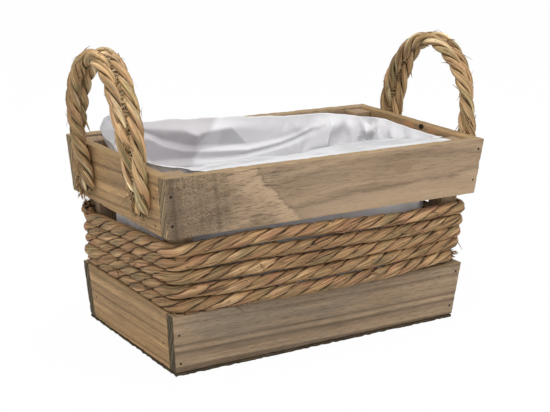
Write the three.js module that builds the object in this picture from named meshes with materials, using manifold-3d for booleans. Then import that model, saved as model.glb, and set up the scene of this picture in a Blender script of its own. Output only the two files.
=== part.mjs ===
// A slatted wooden basket: two tiers of boards nailed round four corner posts, a rope wound through
// the open band between the tiers, two handles of doubled rope and a plastic liner.
// Millimetres, +Z up. The long side runs along X, the front is -Y, and the origin is the centre of
// the underside.
import * as THREE from "three";
import { mergeVertices } from "three/addons/utils/BufferGeometryUtils.js";
import Module from "manifold-3d";

const wasm = await Module();
wasm.setup();

// Driving dimensions of the crate
const baseLength = 286.6; // outside, at the floor
const baseWidth = 161; // outside, at the floor
const endLean = 5.7; // outward lean of the two ends, degrees
const sideLean = 3.4; // outward lean of the front and the back, degrees
const baseThickness = 3;
const slatHeight = 50;
const slatThickness = 10;
const postSize = 18;
const postCornerRadius = 3; // eased corner that the rope bends round
const postBelowRim = 2;
const seatGap = 0.3; // between two pieces that sit on each other

// Driving dimensions of the rope winding
const ropeHeight = 11;
const ropeThickness = 9; // drawn flat against the posts
const ropeRuns = 5; // runs that show on the front
const ropeTurnGap = 0.6; // between one run and the next
const ropeEdgeGap = 0.8; // between the lowest run and the lower boards
const ropeTopGap = 6.6; // between the highest run and the collar boards
const ropeSeatGap = 0.5; // between the rope and a post
const ropeBow = 4.5; // slack of a long run, outwards at its middle

// Driving dimensions of the handles
const handleWidth = 23.5; // two ropes side by side
const handleThickness = 12; // one rope
const footLength = 40; // stretch that lies on the end board, below the rim
const footFlat = 10; // stretch at the foot's end where both ropes lie on the board
const twistAboveRim = 85; // height above the rim where the flat side faces the hand
const handleLean = -1; // outward lean above the rim, degrees
const leftHalfSpan = 51; // half the distance between the feet
const leftRise = 81.8; // above the rim
const leftCentre = -4.8; // middle of the feet, along Y
const leftTilt = 2.1; // towards the back, degrees
const rightHalfSpan = 56;
const rightRise = 76.3;
const rightCentre = -2.4;
const rightTilt = 5.6;
const handleShapes = [
  { end: "left", side: -1, halfSpan: leftHalfSpan, rise: leftRise, centreY: leftCentre, tilt: leftTilt },
  { end: "right", side: 1, halfSpan: rightHalfSpan, rise: rightRise, centreY: rightCentre, tilt: rightTilt },
];

// Driving dimensions of the liner
const linerWall = 1.2;
const linerGap = 1; // between the liner and the boards and posts
const linerBelowRim = 4;

// Driving dimensions of the nails
const nailDiameter = 1.4;
const nailHeadDiameter = 2.2;
const nailHeadThickness = 0.6;
const nailTipLength = 1.5;
const nailTipDiameter = 0.4;
const nailBite = 8; // depth in the piece behind
const nailSink = 0.2; // head below the surface
const nailGap = 0.3; // round a nail in its hole
const footNailSteps = [7, 19]; // from the end of a handle's foot
// Nail heights on each board: the first from its lower edge, the second down from its upper edge
const longBoardNails = {
  collar: { left: [11, 15], right: [13, 9] },
  lower: { left: [8, 17], right: [9, 8] },
};
const endBoardNails = { collar: [7, 20], lower: [21] };

// Facet counts
const nailSides = 8;
const cornerSteps = 3;
const endRunSteps = 2;
const longRunSteps = 4;
const ropeSides = 6;
const handleSides = 12;
const footSteps = 4;
const archSteps = 22;

// Levels, from the floor up
const ropePitch = ropeHeight + ropeTurnGap;
const openBand = ropeEdgeGap + ropeHeight + (ropeRuns - 1) * ropePitch + ropeTopGap;
const floorTop = baseThickness + seatGap;
const lowerTop = floorTop + slatHeight;
const collarBottom = lowerTop + openBand;
const rim = collarBottom + slatHeight;
const tiers = {
  lower: { bottom: floorTop, top: lowerTop },
  collar: { bottom: collarBottom, top: rim },
};

// The leaning walls
const endSlope = Math.tan(THREE.MathUtils.degToRad(endLean));
const sideSlope = Math.tan(THREE.MathUtils.degToRad(sideLean));
const endBoard = slatThickness * Math.hypot(1, endSlope); // board thickness measured level
const sideBoard = slatThickness * Math.hypot(1, sideSlope);
const halfLength = (z) => baseLength / 2 + z * endSlope;
const halfWidth = (z) => baseWidth / 2 + z * sideSlope;
const postX = (z) => halfLength(z) - endBoard - seatGap; // outer faces of the posts
const postY = (z) => halfWidth(z) - sideBoard - seatGap;

// Materials
const finish = (color, roughness, metalness = 0) =>
  new THREE.MeshStandardMaterial({ color, roughness, metalness });
const sideWood = finish("#83735f", 0.85);
const endWood = finish("#a58c69", 0.85);
const postWood = finish("#8f7b62", 0.9);
const baseWood = finish("#6d5c48", 0.9);
const rope = finish("#b48c5f", 0.9);
const handleRope = finish("#b9a069", 0.9);
const film = finish("#d7d7de", 0.35);
const steel = finish("#4a4440", 0.5, 0.9);

// A closed solid through rings of points. Each ring is convex and runs anticlockwise, seen from
// where the rings are heading.
function skin(rings) {
  const count = rings[0].length;
  const last = (rings.length - 1) * count;
  const index = [];
  for (let start = 0; start < last; start += count) {
    for (let side = 0; side < count; side += 1) {
      const here = start + side;
      const next = start + ((side + 1) % count);
      index.push(here, next, next + count, here, next + count, here + count);
    }
  }
  for (let side = 1; side < count - 1; side += 1) {
    index.push(0, side + 1, side, last, last + side, last + side + 1);
  }
  const geometry = new THREE.BufferGeometry().setFromPoints(rings.flat());
  geometry.setIndex(index);
  return geometry;
}

// A board, post or liner that keeps its plan outline, fitted to the leaning walls at each level
const rise = (outline, ...levels) =>
  skin(levels.map((z) => outline(z).map(([x, y]) => new THREE.Vector3(x, y, z))));

const rectangle = (x0, y0, x1, y1) => [[x0, y0], [x1, y0], [x1, y1], [x0, y1]];

function solidOf(geometry) {
  const bare = new THREE.BufferGeometry();
  bare.setAttribute("position", geometry.getAttribute("position"));
  bare.setIndex(geometry.getIndex());
  const merged = mergeVertices(bare);
  const vertProperties = new Float32Array(merged.getAttribute("position").array);
  const triVerts = new Uint32Array(merged.getIndex().array);
  return new wasm.Manifold(new wasm.Mesh({ numProp: 3, vertProperties, triVerts }));
}

function geometryOf(solid) {
  const mesh = solid.getMesh();
  const geometry = new THREE.BufferGeometry();
  geometry.setAttribute("position", new THREE.BufferAttribute(mesh.vertProperties, 3));
  geometry.setIndex(new THREE.BufferAttribute(mesh.triVerts, 1));
  geometry.computeVertexNormals();
  return geometry;
}

// Pieces before their nail holes are drilled, and the holes that each one gets
const blanks = new Map();
const holes = new Map();
const nails = new THREE.Group();

function addBlank(name, geometry, material) {
  blanks.set(name, { geometry, material });
  holes.set(name, []);
}

// A nail along +Z, with its head at the origin. A hole is the same shape with room round it.
function nailShape(length, room, headRoom) {
  const stations = [
    [nailHeadDiameter, -headRoom],
    [nailHeadDiameter, nailHeadThickness + room],
    [nailDiameter, nailHeadThickness + room],
    [nailDiameter, length - nailTipLength + room],
    [nailTipDiameter, length + room],
  ];
  return skin(stations.map(([diameter, z]) => {
    const radius = diameter / 2 + room;
    const ring = [];
    for (let side = 0; side < nailSides; side += 1) {
      const angle = (2 * Math.PI * side) / nailSides;
      ring.push(new THREE.Vector3(radius * Math.cos(angle), radius * Math.sin(angle), z));
    }
    return ring;
  }));
}

// Drives a nail from a point on the outside, through a piece of the given thickness and into the next
function addNail(name, point, inward, through, pieces) {
  const length = through + nailBite;
  const nail = new THREE.Mesh(nailShape(length, 0, 0), steel);
  nail.name = name;
  nail.quaternion.setFromUnitVectors(new THREE.Vector3(0, 0, 1), inward);
  nail.position.copy(point).addScaledVector(inward, nailSink);
  nail.updateMatrix();
  nails.add(nail);
  const hole = nailShape(length, nailGap, nailHeadDiameter).applyMatrix4(nail.matrix);
  pieces.forEach((piece) => holes.get(piece).push(solidOf(hole)));
}

// Base board, flush with the outside of the lower boards
addBlank(
  "base_board",
  rise((z) => rectangle(-halfLength(z), -halfWidth(z), halfLength(z), halfWidth(z)), 0, baseThickness),
  baseWood,
);

// Boards of both tiers: the long ones lap over the ends of the short ones
for (const [tier, { bottom, top }] of Object.entries(tiers)) {
  const frontBoard = (z) =>
    rectangle(-halfLength(z), -halfWidth(z), halfLength(z), sideBoard - halfWidth(z));
  const backBoard = (z) =>
    rectangle(-halfLength(z), halfWidth(z) - sideBoard, halfLength(z), halfWidth(z));
  const leftBoard = (z) =>
    rectangle(-halfLength(z), -postY(z), endBoard - halfLength(z), postY(z));
  const rightBoard = (z) =>
    rectangle(halfLength(z) - endBoard, -postY(z), halfLength(z), postY(z));
  addBlank(`${tier}_front_board`, rise(frontBoard, bottom, top), sideWood);
  addBlank(`${tier}_back_board`, rise(backBoard, bottom, top), sideWood);
  addBlank(`${tier}_left_board`, rise(leftBoard, bottom, top), endWood);
  addBlank(`${tier}_right_board`, rise(rightBoard, bottom, top), endWood);
}

// Corner posts, square with the outer corner eased, leaning with both walls
const sideNames = { "-1": { x: "left", y: "front" }, 1: { x: "right", y: "back" } };
const corners = [[-1, -1], [1, -1], [-1, 1], [1, 1]];
const postName = (sideX, sideY) => `${sideNames[sideY].y}_${sideNames[sideX].x}_post`;

function postOutline(sideX, sideY, z) {
  const outerX = postX(z);
  const outerY = postY(z);
  const outline = [[outerX - postSize, outerY - postSize], [outerX, outerY - postSize]];
  for (let step = 0; step <= cornerSteps; step += 1) {
    const angle = (Math.PI / 2) * (step / cornerSteps);
    outline.push([
      outerX - postCornerRadius * (1 - Math.cos(angle)),
      outerY - postCornerRadius * (1 - Math.sin(angle)),
    ]);
  }
  outline.push([outerX - postSize, outerY]);
  const placed = outline.map(([x, y]) => [sideX * x, sideY * y]);
  return sideX * sideY > 0 ? placed : placed.reverse();
}

for (const [sideX, sideY] of corners) {
  const outline = (z) => postOutline(sideX, sideY, z);
  addBlank(postName(sideX, sideY), rise(outline, floorTop, rim - postBelowRim), postWood);
}

// Liner: an open-topped bag that spans the corners inside the posts
const linerCorner = 2 * (postSize + seatGap - linerGap) + Math.SQRT2 * linerGap;

function linerOutline(inset, z) {
  const x = halfLength(z) - endBoard - linerGap - inset;
  const y = halfWidth(z) - sideBoard - linerGap - inset;
  const cut = linerCorner - inset * (2 - Math.SQRT2);
  return [
    [x, cut - y], [x, y - cut], [x - cut, y], [cut - x, y],
    [-x, y - cut], [-x, cut - y], [cut - x, -y], [x - cut, -y],
  ];
}

const linerTop = rim - linerBelowRim;
const linerOutside = rise((z) => linerOutline(0, z), floorTop, linerTop);
const linerInside = rise((z) => linerOutline(linerWall, z), floorTop + linerWall, rim);
addBlank("liner", geometryOf(solidOf(linerOutside).subtract(solidOf(linerInside))), film);

// Rope winding: level along the ends and the front, a full pitch down along the back, flat against the posts
const ropeOffset = ropeSeatGap + ropeThickness / 2; // centre line from the posts' outer faces
const ropeBend = postCornerRadius + ropeOffset; // bend of the centre line round a post

function ropeRing(x, y, z, outwardX, outwardY) {
  const ring = [];
  for (let side = 0; side < ropeSides; side += 1) {
    const angle = (2 * Math.PI * side) / ropeSides;
    const out = (Math.sin(angle) * ropeThickness) / 2 / Math.sin(Math.PI / 3);
    const up = (Math.cos(angle) * ropeHeight) / 2;
    ring.push(new THREE.Vector3(x + outwardX * out, y + outwardY * out, z + up));
  }
  return ring;
}

function windRope() {
  const rings = [];
  let level = collarBottom - ropeTopGap - ropeHeight / 2;
  const bendX = (z) => postX(z) + ropeOffset - ropeBend; // centres of the corner bends
  const bendY = (z) => postY(z) + ropeOffset - ropeBend;
  const corner = (sideX, sideY, startAngle) => {
    for (let step = 1; step <= cornerSteps; step += 1) {
      const angle = startAngle + (Math.PI / 2) * (step / cornerSteps);
      const outX = Math.cos(angle);
      const outY = Math.sin(angle);
      const x = sideX * bendX(level) + ropeBend * outX;
      const y = sideY * bendY(level) + ropeBend * outY;
      rings.push(ropeRing(x, y, level, outX, outY));
    }
  };
  const endRun = (sideX) => {
    for (let step = 1; step <= endRunSteps; step += 1) {
      const y = sideX * bendY(level) * ((2 * step) / endRunSteps - 1);
      rings.push(ropeRing(sideX * (bendX(level) + ropeBend), y, level, sideX, 0));
    }
  };
  const longRun = (sideY, drop) => {
    const startLevel = level;
    for (let step = 1; step <= longRunSteps; step += 1) {
      const along = step / longRunSteps;
      const slack = 4 * along * (1 - along);
      level = startLevel - drop * along;
      const x = -sideY * bendX(level) * (2 * along - 1);
      const y = sideY * (bendY(level) + ropeBend + ropeBow * slack);
      rings.push(ropeRing(x, y, level, 0, sideY));
    }
  };
  rings.push(ropeRing(-bendX(level) - ropeBend, bendY(level), level, -1, 0));
  for (let run = 1; run <= ropeRuns; run += 1) {
    endRun(-1);
    corner(-1, -1, Math.PI);
    longRun(-1, 0);
    if (run < ropeRuns) {
      corner(1, -1, -Math.PI / 2);
      endRun(1);
      corner(1, 1, 0);
      longRun(1, ropePitch);
      corner(-1, 1, Math.PI / 2);
    }
  }
  return { rings, startLevel: rings[0][0].z - ropeHeight / 2, endLevel: level };
}

const winding = windRope();
addBlank("rope_winding", skin(winding.rings), rope);

// Least gap between one turn of the rope and the next, on the points of its rings
const halfTurnRings = 2 * cornerSteps + endRunSteps + longRunSteps;
let leastRopeGap = Infinity;
winding.rings.forEach((ring, first) => {
  for (const other of winding.rings.slice(first + halfTurnRings)) {
    for (const point of ring) {
      for (const otherPoint of other) {
        leastRopeGap = Math.min(leastRopeGap, point.distanceTo(otherPoint));
      }
    }
  }
});
console.log(`least gap between turns of the rope: ${leastRopeGap.toFixed(2)} mm`);

// Handles: a doubled rope over a half ellipse, with two straight feet. It lies flat on the board at its
// feet and turns its flat side to the hand above the rim.
function handleLine({ halfSpan, rise: archRise }) {
  const line = [];
  for (let step = 0; step < footSteps; step += 1) {
    line.push(new THREE.Vector2(-halfSpan, -footLength * (1 - step / footSteps)));
  }
  for (let step = 0; step <= archSteps; step += 1) {
    const angle = (Math.PI * step) / archSteps;
    line.push(new THREE.Vector2(-halfSpan * Math.cos(angle), archRise * Math.sin(angle)));
  }
  for (let step = 1; step <= footSteps; step += 1) {
    line.push(new THREE.Vector2(halfSpan, (-footLength * step) / footSteps));
  }
  return line;
}

const handleTwist = (height) =>
  (Math.PI / 2) * THREE.MathUtils.smoothstep(height, footFlat - footLength, twistAboveRim);

// A point of the handle's own plane, tilted about the middle of the rim
function handlePoint({ centreY, tilt }, point) {
  const angle = THREE.MathUtils.degToRad(-tilt);
  const turned = point.clone().rotateAround(new THREE.Vector2(0, 0), angle);
  return { y: centreY + turned.x, z: rim + turned.y };
}

// Distance of the handle's centre line from the middle of the crate
function handleReach(height, z) {
  const twist = handleTwist(height);
  const depth = Math.hypot(handleThickness * Math.cos(twist), handleWidth * Math.sin(twist)) / 2;
  const above = Math.max(0, z - rim) * Math.tan(THREE.MathUtils.degToRad(handleLean));
  return halfLength(Math.min(z, rim)) + seatGap + depth + above;
}

function handleRings(shape) {
  const line = handleLine(shape);
  const placed = line.map((point) => {
    const { y, z } = handlePoint(shape, point);
    return new THREE.Vector3(shape.side * handleReach(point.y, z), y, z);
  });
  return placed.map((centre, step) => {
    const before = placed[Math.max(step - 1, 0)];
    const after = placed[Math.min(step + 1, placed.length - 1)];
    const along = new THREE.Vector3().subVectors(after, before).normalize();
    const outside = new THREE.Vector3(0, -along.z, along.y).normalize();
    const sideways = new THREE.Vector3().crossVectors(along, outside).multiplyScalar(shape.side);
    const twist = handleTwist(line[step].y);
    const ring = [];
    for (let side = 0; side < handleSides; side += 1) {
      const angle = (shape.side * 2 * Math.PI * side) / handleSides;
      const wide = (Math.cos(angle) * handleWidth) / 2;
      const thick = (Math.sin(angle) * handleThickness) / 2;
      ring.push(centre.clone()
        .addScaledVector(outside, wide * Math.cos(twist) + thick * Math.sin(twist))
        .addScaledVector(sideways, thick * Math.cos(twist) - wide * Math.sin(twist)));
    }
    return ring;
  });
}

for (const shape of handleShapes) {
  addBlank(`${shape.end}_handle`, skin(handleRings(shape)), handleRope);
}

// Inward directions, square to each wall
const inwardFromEnd = (sideX) => new THREE.Vector3(-sideX, 0, endSlope).normalize();
const inwardFromSide = (sideY) => new THREE.Vector3(0, -sideY, sideSlope).normalize();

// Nails of the long boards, into the ends of the short boards
for (const [tier, { bottom, top }] of Object.entries(tiers)) {
  for (const sideY of [-1, 1]) {
    const board = `${tier}_${sideNames[sideY].y}_board`;
    for (const sideX of [-1, 1]) {
      const end = sideNames[sideX].x;
      const [fromLower, fromUpper] = longBoardNails[tier][end];
      [bottom + fromLower, top - fromUpper].forEach((z, row) => {
        const point = new THREE.Vector3(sideX * (halfLength(z) - endBoard / 2), sideY * halfWidth(z), z);
        const name = `${tier}_${sideNames[sideY].y}_${end}_nail_${row + 1}`;
        const pieces = [board, `${tier}_${end}_board`];
        addNail(name, point, inwardFromSide(sideY), slatThickness, pieces);
      });
    }
  }
}

// Nails of the short boards, into the posts
for (const [tier, { bottom, top }] of Object.entries(tiers)) {
  const [fromLower, fromUpper] = endBoardNails[tier];
  const rows = fromUpper === undefined ? [bottom + fromLower] : [bottom + fromLower, top - fromUpper];
  for (const [sideX, sideY] of corners) {
    const end = sideNames[sideX].x;
    rows.forEach((z, row) => {
      const point = new THREE.Vector3(sideX * halfLength(z), sideY * (postY(z) - postSize / 2), z);
      const name = `${tier}_${end}_${sideNames[sideY].y}_nail_${row + 1}`;
      const pieces = [`${tier}_${end}_board`, postName(sideX, sideY)];
      addNail(name, point, inwardFromEnd(sideX), slatThickness, pieces);
    });
  }
}

// Nails of the handles' feet, into the collar
for (const shape of handleShapes) {
  for (const foot of [-1, 1]) {
    footNailSteps.forEach((step, row) => {
      const height = step - footLength;
      const { y, z } = handlePoint(shape, new THREE.Vector2(foot * shape.halfSpan, height));
      const reach = handleReach(height, z) + handleThickness / 2;
      const point = new THREE.Vector3(shape.side * reach, y, z);
      const name = `${shape.end}_handle_${sideNames[foot].y}_nail_${row + 1}`;
      const pieces = [`${shape.end}_handle`, `collar_${shape.end}_board`];
      addNail(name, point, inwardFromEnd(shape.side), handleThickness, pieces);
    });
  }
}

// Nails of the base board, into the posts
for (const [sideX, sideY] of corners) {
  const x = sideX * (postX(floorTop) - postSize / 2);
  const y = sideY * (postY(floorTop) - postSize / 2);
  const post = postName(sideX, sideY);
  const upwards = new THREE.Vector3(0, 0, 1);
  addNail(`base_${post}_nail`, new THREE.Vector3(x, y, 0), upwards, baseThickness, ["base_board", post]);
}

// Nails of the rope's two ends, into the posts under them
const ropeFace = ropeOffset + ropeThickness / 2;
const { startLevel, endLevel } = winding;
const startNail = new THREE.Vector3(
  -postX(startLevel) - ropeFace, postY(startLevel) - postCornerRadius - ropeHeight / 2, startLevel);
const endNail = new THREE.Vector3(
  postX(endLevel) - postCornerRadius - ropeHeight / 2, -postY(endLevel) - ropeFace, endLevel);
addNail("rope_start_nail", startNail, inwardFromEnd(-1), ropeThickness, ["rope_winding", postName(-1, 1)]);
addNail("rope_end_nail", endNail, inwardFromSide(-1), ropeThickness, ["rope_winding", postName(1, -1)]);

// The finished pieces, drilled for their nails
const basket = new THREE.Group();
for (const [name, { geometry, material }] of blanks) {
  const drilled = holes.get(name).reduce((solid, hole) => solid.subtract(hole), solidOf(geometry));
  const piece = new THREE.Mesh(geometryOf(drilled), material);
  piece.name = name;
  basket.add(piece);
}
basket.add(nails);

export default basket;
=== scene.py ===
"""Looks of a slatted wooden basket with a wound rope, rope handles and a film liner."""

import math

import bmesh
import bpy
import numpy as np
from mathutils import Matrix, Vector, noise


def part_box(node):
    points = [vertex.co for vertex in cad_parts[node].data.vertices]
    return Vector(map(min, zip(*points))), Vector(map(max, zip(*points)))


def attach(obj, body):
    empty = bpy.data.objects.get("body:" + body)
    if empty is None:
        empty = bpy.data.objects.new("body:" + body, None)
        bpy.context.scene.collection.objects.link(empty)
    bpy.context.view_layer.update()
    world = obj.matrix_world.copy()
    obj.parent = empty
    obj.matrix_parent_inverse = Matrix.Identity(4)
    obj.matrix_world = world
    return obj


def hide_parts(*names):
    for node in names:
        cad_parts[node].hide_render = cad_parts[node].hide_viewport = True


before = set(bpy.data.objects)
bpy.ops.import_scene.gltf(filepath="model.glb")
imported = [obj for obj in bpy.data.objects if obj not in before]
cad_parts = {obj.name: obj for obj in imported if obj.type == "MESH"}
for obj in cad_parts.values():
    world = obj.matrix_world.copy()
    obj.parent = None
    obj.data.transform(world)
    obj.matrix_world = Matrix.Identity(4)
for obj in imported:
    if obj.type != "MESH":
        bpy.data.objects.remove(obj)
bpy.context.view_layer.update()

bl_info = {
    "name": "Wooden basket",
    "version": (1, 0, 0),
    "blender": (4, 5, 0),
    "location": "View3D > Sidebar > Basket",
    "description": "Boards, wound rope, rope handles and film liner of a wooden basket",
    "category": "Add Mesh",
}

# Levels and leaning walls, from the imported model
BASE_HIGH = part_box("base_board")[1]
LOWER_LOW, LOWER_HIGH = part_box("lower_back_board")
COLLAR_LOW, COLLAR_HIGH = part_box("collar_back_board")
BASE_TOP = BASE_HIGH.z
LOWER_BOTTOM = LOWER_LOW.z
LOWER_TOP = LOWER_HIGH.z
COLLAR_BOTTOM = COLLAR_LOW.z
RIM = COLLAR_HIGH.z
POST_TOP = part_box("front_left_post")[1].z
END_SLOPE = (COLLAR_HIGH.x - BASE_HIGH.x) / (RIM - BASE_TOP)
SIDE_SLOPE = (COLLAR_HIGH.y - BASE_HIGH.y) / (RIM - BASE_TOP)
SEAT_GAP = LOWER_BOTTOM - BASE_TOP
SIDE_SIGNS = {"front": -1, "back": 1, "left": -1, "right": 1}
MM = 0.001


def half_length(z):
    """Half the outside length of the crate at a height."""
    return BASE_HIGH.x + (z - BASE_TOP) * END_SLOPE


def half_width(z):
    """Half the outside width of the crate at a height."""
    return BASE_HIGH.y + (z - BASE_TOP) * SIDE_SLOPE


def srgb(red, green, blue):
    """A linear colour from screen values of 0 to 255."""
    screen = [value / 255 for value in (red, green, blue)]
    return tuple(v / 12.92 if v <= 0.04045 else ((v + 0.055) / 1.055) ** 2.4 for v in screen)


def opaque(colour):
    """A colour with full opacity, as sockets and ramps take it."""
    return (*tuple(colour)[:3], 1.0)


def smooth(low, high, value):
    """Smooth step from 0 at low to 1 at high."""
    share = np.clip((value - low) / (high - low), 0.0, 1.0)
    return share * share * (3 - 2 * share)


def length_setting(name, description, default):
    """A length that the user can change."""
    return bpy.props.FloatProperty(
        name=name, description=description, default=default, min=0.0, unit="LENGTH", precision=4)


def colour_setting(name, description, default):
    """A colour that the user can change."""
    return bpy.props.FloatVectorProperty(
        name=name, description=description, default=default, size=3, min=0.0, max=1.0, subtype="COLOR")


def share_setting(name, description, default):
    """A share between none and all that the user can change."""
    return bpy.props.FloatProperty(
        name=name, description=description, default=default, min=0.0, max=1.0, subtype="FACTOR")


class BasketWoodSettings(bpy.types.PropertyGroup):
    """Sizes and colours of the boards, the posts and the base."""

    board_thickness: length_setting("Board thickness", "Thickness of the boards", 0.01)
    post_size: length_setting("Post size", "Side of a corner post", 0.018)
    edge_ease: length_setting("Edge ease", "Width of the eased board edges", 0.0009)
    edge_wear: length_setting("Edge wear", "Depth of the chips along the edges", 0.0007)
    mesh_step: length_setting("Mesh step", "Size of a face on a board", 0.003)
    side_pale: colour_setting("Side pale", "Pale grain of the long boards", srgb(188, 162, 132))
    side_mid: colour_setting("Side middle", "Main colour of the long boards", srgb(157, 134, 109))
    side_dark: colour_setting("Side dark", "Dark grain of the long boards", srgb(82, 69, 54))
    low_share: share_setting("Lower share", "Brightness of the lower boards next to the upper ones", 0.80)
    end_pale: colour_setting("End pale", "Pale grain of the short boards", srgb(194, 158, 114))
    end_mid: colour_setting("End middle", "Main colour of the short boards", srgb(160, 130, 93))
    end_dark: colour_setting("End dark", "Dark grain of the short boards", srgb(96, 75, 52))
    fresh_edge: colour_setting("Fresh edge", "Sawn upper edges", srgb(150, 127, 90))
    collar_cut: colour_setting("Upper ends", "Cut ends of the upper boards", srgb(134, 115, 88))
    lower_cut: colour_setting("Lower ends", "Cut ends of the lower boards", srgb(80, 70, 52))
    base_colour: colour_setting("Base", "Sheet under the boards", srgb(66, 56, 42))


class BasketRopeSettings(bpy.types.PropertyGroup):
    """Sizes and colours of the wound rope."""

    size: length_setting("Size", "Radius of the rope", 0.0056)
    pitch: length_setting("Pitch", "Length of one full twist of the rope", 0.061)
    mesh_step: length_setting("Mesh step", "Length of a face along the rope", 0.0013)
    pale: colour_setting("Pale", "Pale leaves", srgb(198, 165, 122))
    tan: colour_setting("Tan", "Main colour of the leaves", srgb(162, 127, 88))
    pink: colour_setting("Pink", "Reddish leaves", srgb(168, 123, 92))
    green: colour_setting("Green", "Greenish leaves", srgb(136, 119, 84))
    # Dark flecks, and painted shade in the splits, the creases and the grooves between strands
    dark: colour_setting("Dark", "Splits and grooves", srgb(46, 28, 12))


class BasketHandleSettings(bpy.types.PropertyGroup):
    """Sizes and colours of the rope handles."""

    size: length_setting("Size", "Radius of one rope of a handle", 0.0061)
    pitch: length_setting("Pitch", "Length of one full twist of a rope", 0.050)
    spread: length_setting("Spread", "Middle of a rope from the middle of the handle", 0.00575)
    mesh_step: length_setting("Mesh step", "Length of a face along a rope", 0.0011)
    pale: colour_setting("Pale", "Pale leaves", srgb(244, 220, 174))
    tan: colour_setting("Tan", "Main colour of the leaves", srgb(188, 153, 108))
    pink: colour_setting("Pink", "Reddish leaves", srgb(184, 144, 108))
    green: colour_setting("Green", "Greenish leaves", srgb(154, 140, 98))
    # Dark flecks, and painted shade in the splits, the creases and the grooves between strands
    dark: colour_setting("Dark", "Splits and grooves", srgb(50, 32, 12))


class BasketLinerSettings(bpy.types.PropertyGroup):
    """Size and colour of the film liner."""

    mesh_step: length_setting("Mesh step", "Size of a face of the film", 0.0013)
    colour: colour_setting("Film", "Colour of the film", srgb(238, 237, 239))
    opacity: share_setting("Opacity", "How little shows through the film", 0.93)


class BasketNailSettings(bpy.types.PropertyGroup):
    """Size and colour of the nails."""

    head_width: length_setting("Head width", "Diameter of a nail's head", 0.0028)
    shank_width: length_setting("Shank width", "Diameter of a nail's shank", 0.0014)
    sunk: length_setting("Sunk", "How deep a nail sits in a handle's foot", 0.0025)
    colour: colour_setting("Steel", "Dull steel of the heads", srgb(24, 19, 16))
    rust: colour_setting("Rust", "Rust on the heads", srgb(26, 16, 10))


class BasketStageSettings(bpy.types.PropertyGroup):
    """Camera, lamps and floor."""

    lens: bpy.props.FloatProperty(name="Lens", description="Focal length in mm", default=84.36)
    heading: bpy.props.FloatProperty(
        name="Heading", description="Turn of the view from +Y towards +X",
        default=math.radians(33.10), subtype="ANGLE")
    dip: bpy.props.FloatProperty(
        name="Dip", description="How far the view points down", default=math.radians(15.39), subtype="ANGLE")
    roll: bpy.props.FloatProperty(
        name="Roll", description="Turn of the picture", default=math.radians(1.43), subtype="ANGLE")
    camera_place: bpy.props.FloatVectorProperty(
        name="Camera place", description="Place of the camera", default=(-0.6034, -0.9250, 0.4086),
        size=3, subtype="TRANSLATION")
    floor_colour: colour_setting("Floor", "Colour of the floor", (0.86, 0.86, 0.86))
    sky_strength: bpy.props.FloatProperty(
        name="Sky strength", description="Even light from all round", default=0.55)


# Shader nodes
class Wire:
    """A socket of a material, with arithmetic that adds Math nodes."""

    def __init__(self, tree, socket=None):
        self.tree = tree
        self.socket = socket

    def node(self, kind, settings=(), inputs=(), output=0):
        """Adds a node, sets it, fills its sockets and gives one of its outputs."""
        made = self.tree.nodes.new(kind)
        for name, value in dict(settings).items():
            if name == "stops":
                fill_ramp(made.color_ramp, value)
            else:
                setattr(made, name, value)
        for name, value in dict(inputs).items():
            if isinstance(value, Wire):
                self.tree.links.new(value.socket, made.inputs[name])
            else:
                made.inputs[name].default_value = value
        return Wire(self.tree, made.outputs[output])

    def maths(self, operation, first, second=0.0):
        return self.node("ShaderNodeMath", {"operation": operation}, {0: first, 1: second})

    def __add__(self, other):
        return self.maths("ADD", self, other)

    def __radd__(self, other):
        return self.maths("ADD", other, self)

    def __sub__(self, other):
        return self.maths("SUBTRACT", self, other)

    def __rsub__(self, other):
        return self.maths("SUBTRACT", other, self)

    def __mul__(self, other):
        return self.maths("MULTIPLY", self, other)

    def __abs__(self):
        return self.maths("ABSOLUTE", self)

    def step(self, low, high):
        """Smooth step from 0 at low to 1 at high."""
        return self.node(
            "ShaderNodeMapRange", {"interpolation_type": "SMOOTHSTEP"},
            {"Value": self, "From Min": low, "From Max": high})

    def ramp(self, *stops):
        """Colours at places between 0 and 1."""
        return self.node("ShaderNodeValToRGB", {"stops": stops}, {"Fac": self})

    def mix(self, other, share, way="MIX"):
        """This colour turning into another."""
        settings = {"data_type": "RGBA", "blend_type": way}
        return self.node("ShaderNodeMix", settings, {0: share, 6: self, 7: other}, output=2)

    def scaled(self, *scale):
        """A point scaled along its axes."""
        return self.node("ShaderNodeMapping", {}, {"Vector": self, "Scale": scale})

    def grain(self, scale=1.0, detail=2.0, rough=0.5, bend=0.0):
        """Noise between 0 and 1 at a point."""
        inputs = {"Vector": self, "Scale": scale, "Detail": detail, "Roughness": rough, "Distortion": bend}
        return self.node("ShaderNodeTexNoise", {}, inputs)

    def line_grain(self, detail=2.0, rough=0.5):
        """Noise between 0 and 1 along a value."""
        inputs = {"W": self, "Scale": 1.0, "Detail": detail, "Roughness": rough}
        return self.node("ShaderNodeTexNoise", {"noise_dimensions": "1D"}, inputs)

    def part(self, axis):
        """One coordinate of a point."""
        return self.node("ShaderNodeSeparateXYZ", {}, {"Vector": self}, output=axis)

    def feed(self, shader, socket):
        """Links this to a socket of the shader."""
        self.tree.links.new(self.socket, shader.inputs[socket])

    def bump(self, shader, strength, distance):
        """Raises and lowers the shader's surface by this height."""
        inputs = {"Strength": strength, "Distance": distance, "Height": self}
        self.node("ShaderNodeBump", {}, inputs).feed(shader, "Normal")


def fill_ramp(ramp, stops):
    """Sets the stops of a colour ramp."""
    elements = ramp.elements
    while len(elements) < len(stops):
        elements.new(0.5)
    for element, (place, colour) in zip(elements, stops):
        element.position = place
        element.color = opaque(colour)


def new_finish(name, gloss=0.5):
    """A material with its node tree and shader."""
    finish = bpy.data.materials.new(name)
    finish.use_nodes = True
    tree = finish.node_tree
    shader = tree.nodes["Principled BSDF"]
    shader.inputs["Specular IOR Level"].default_value = gloss
    return finish, Wire(tree), shader


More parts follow.
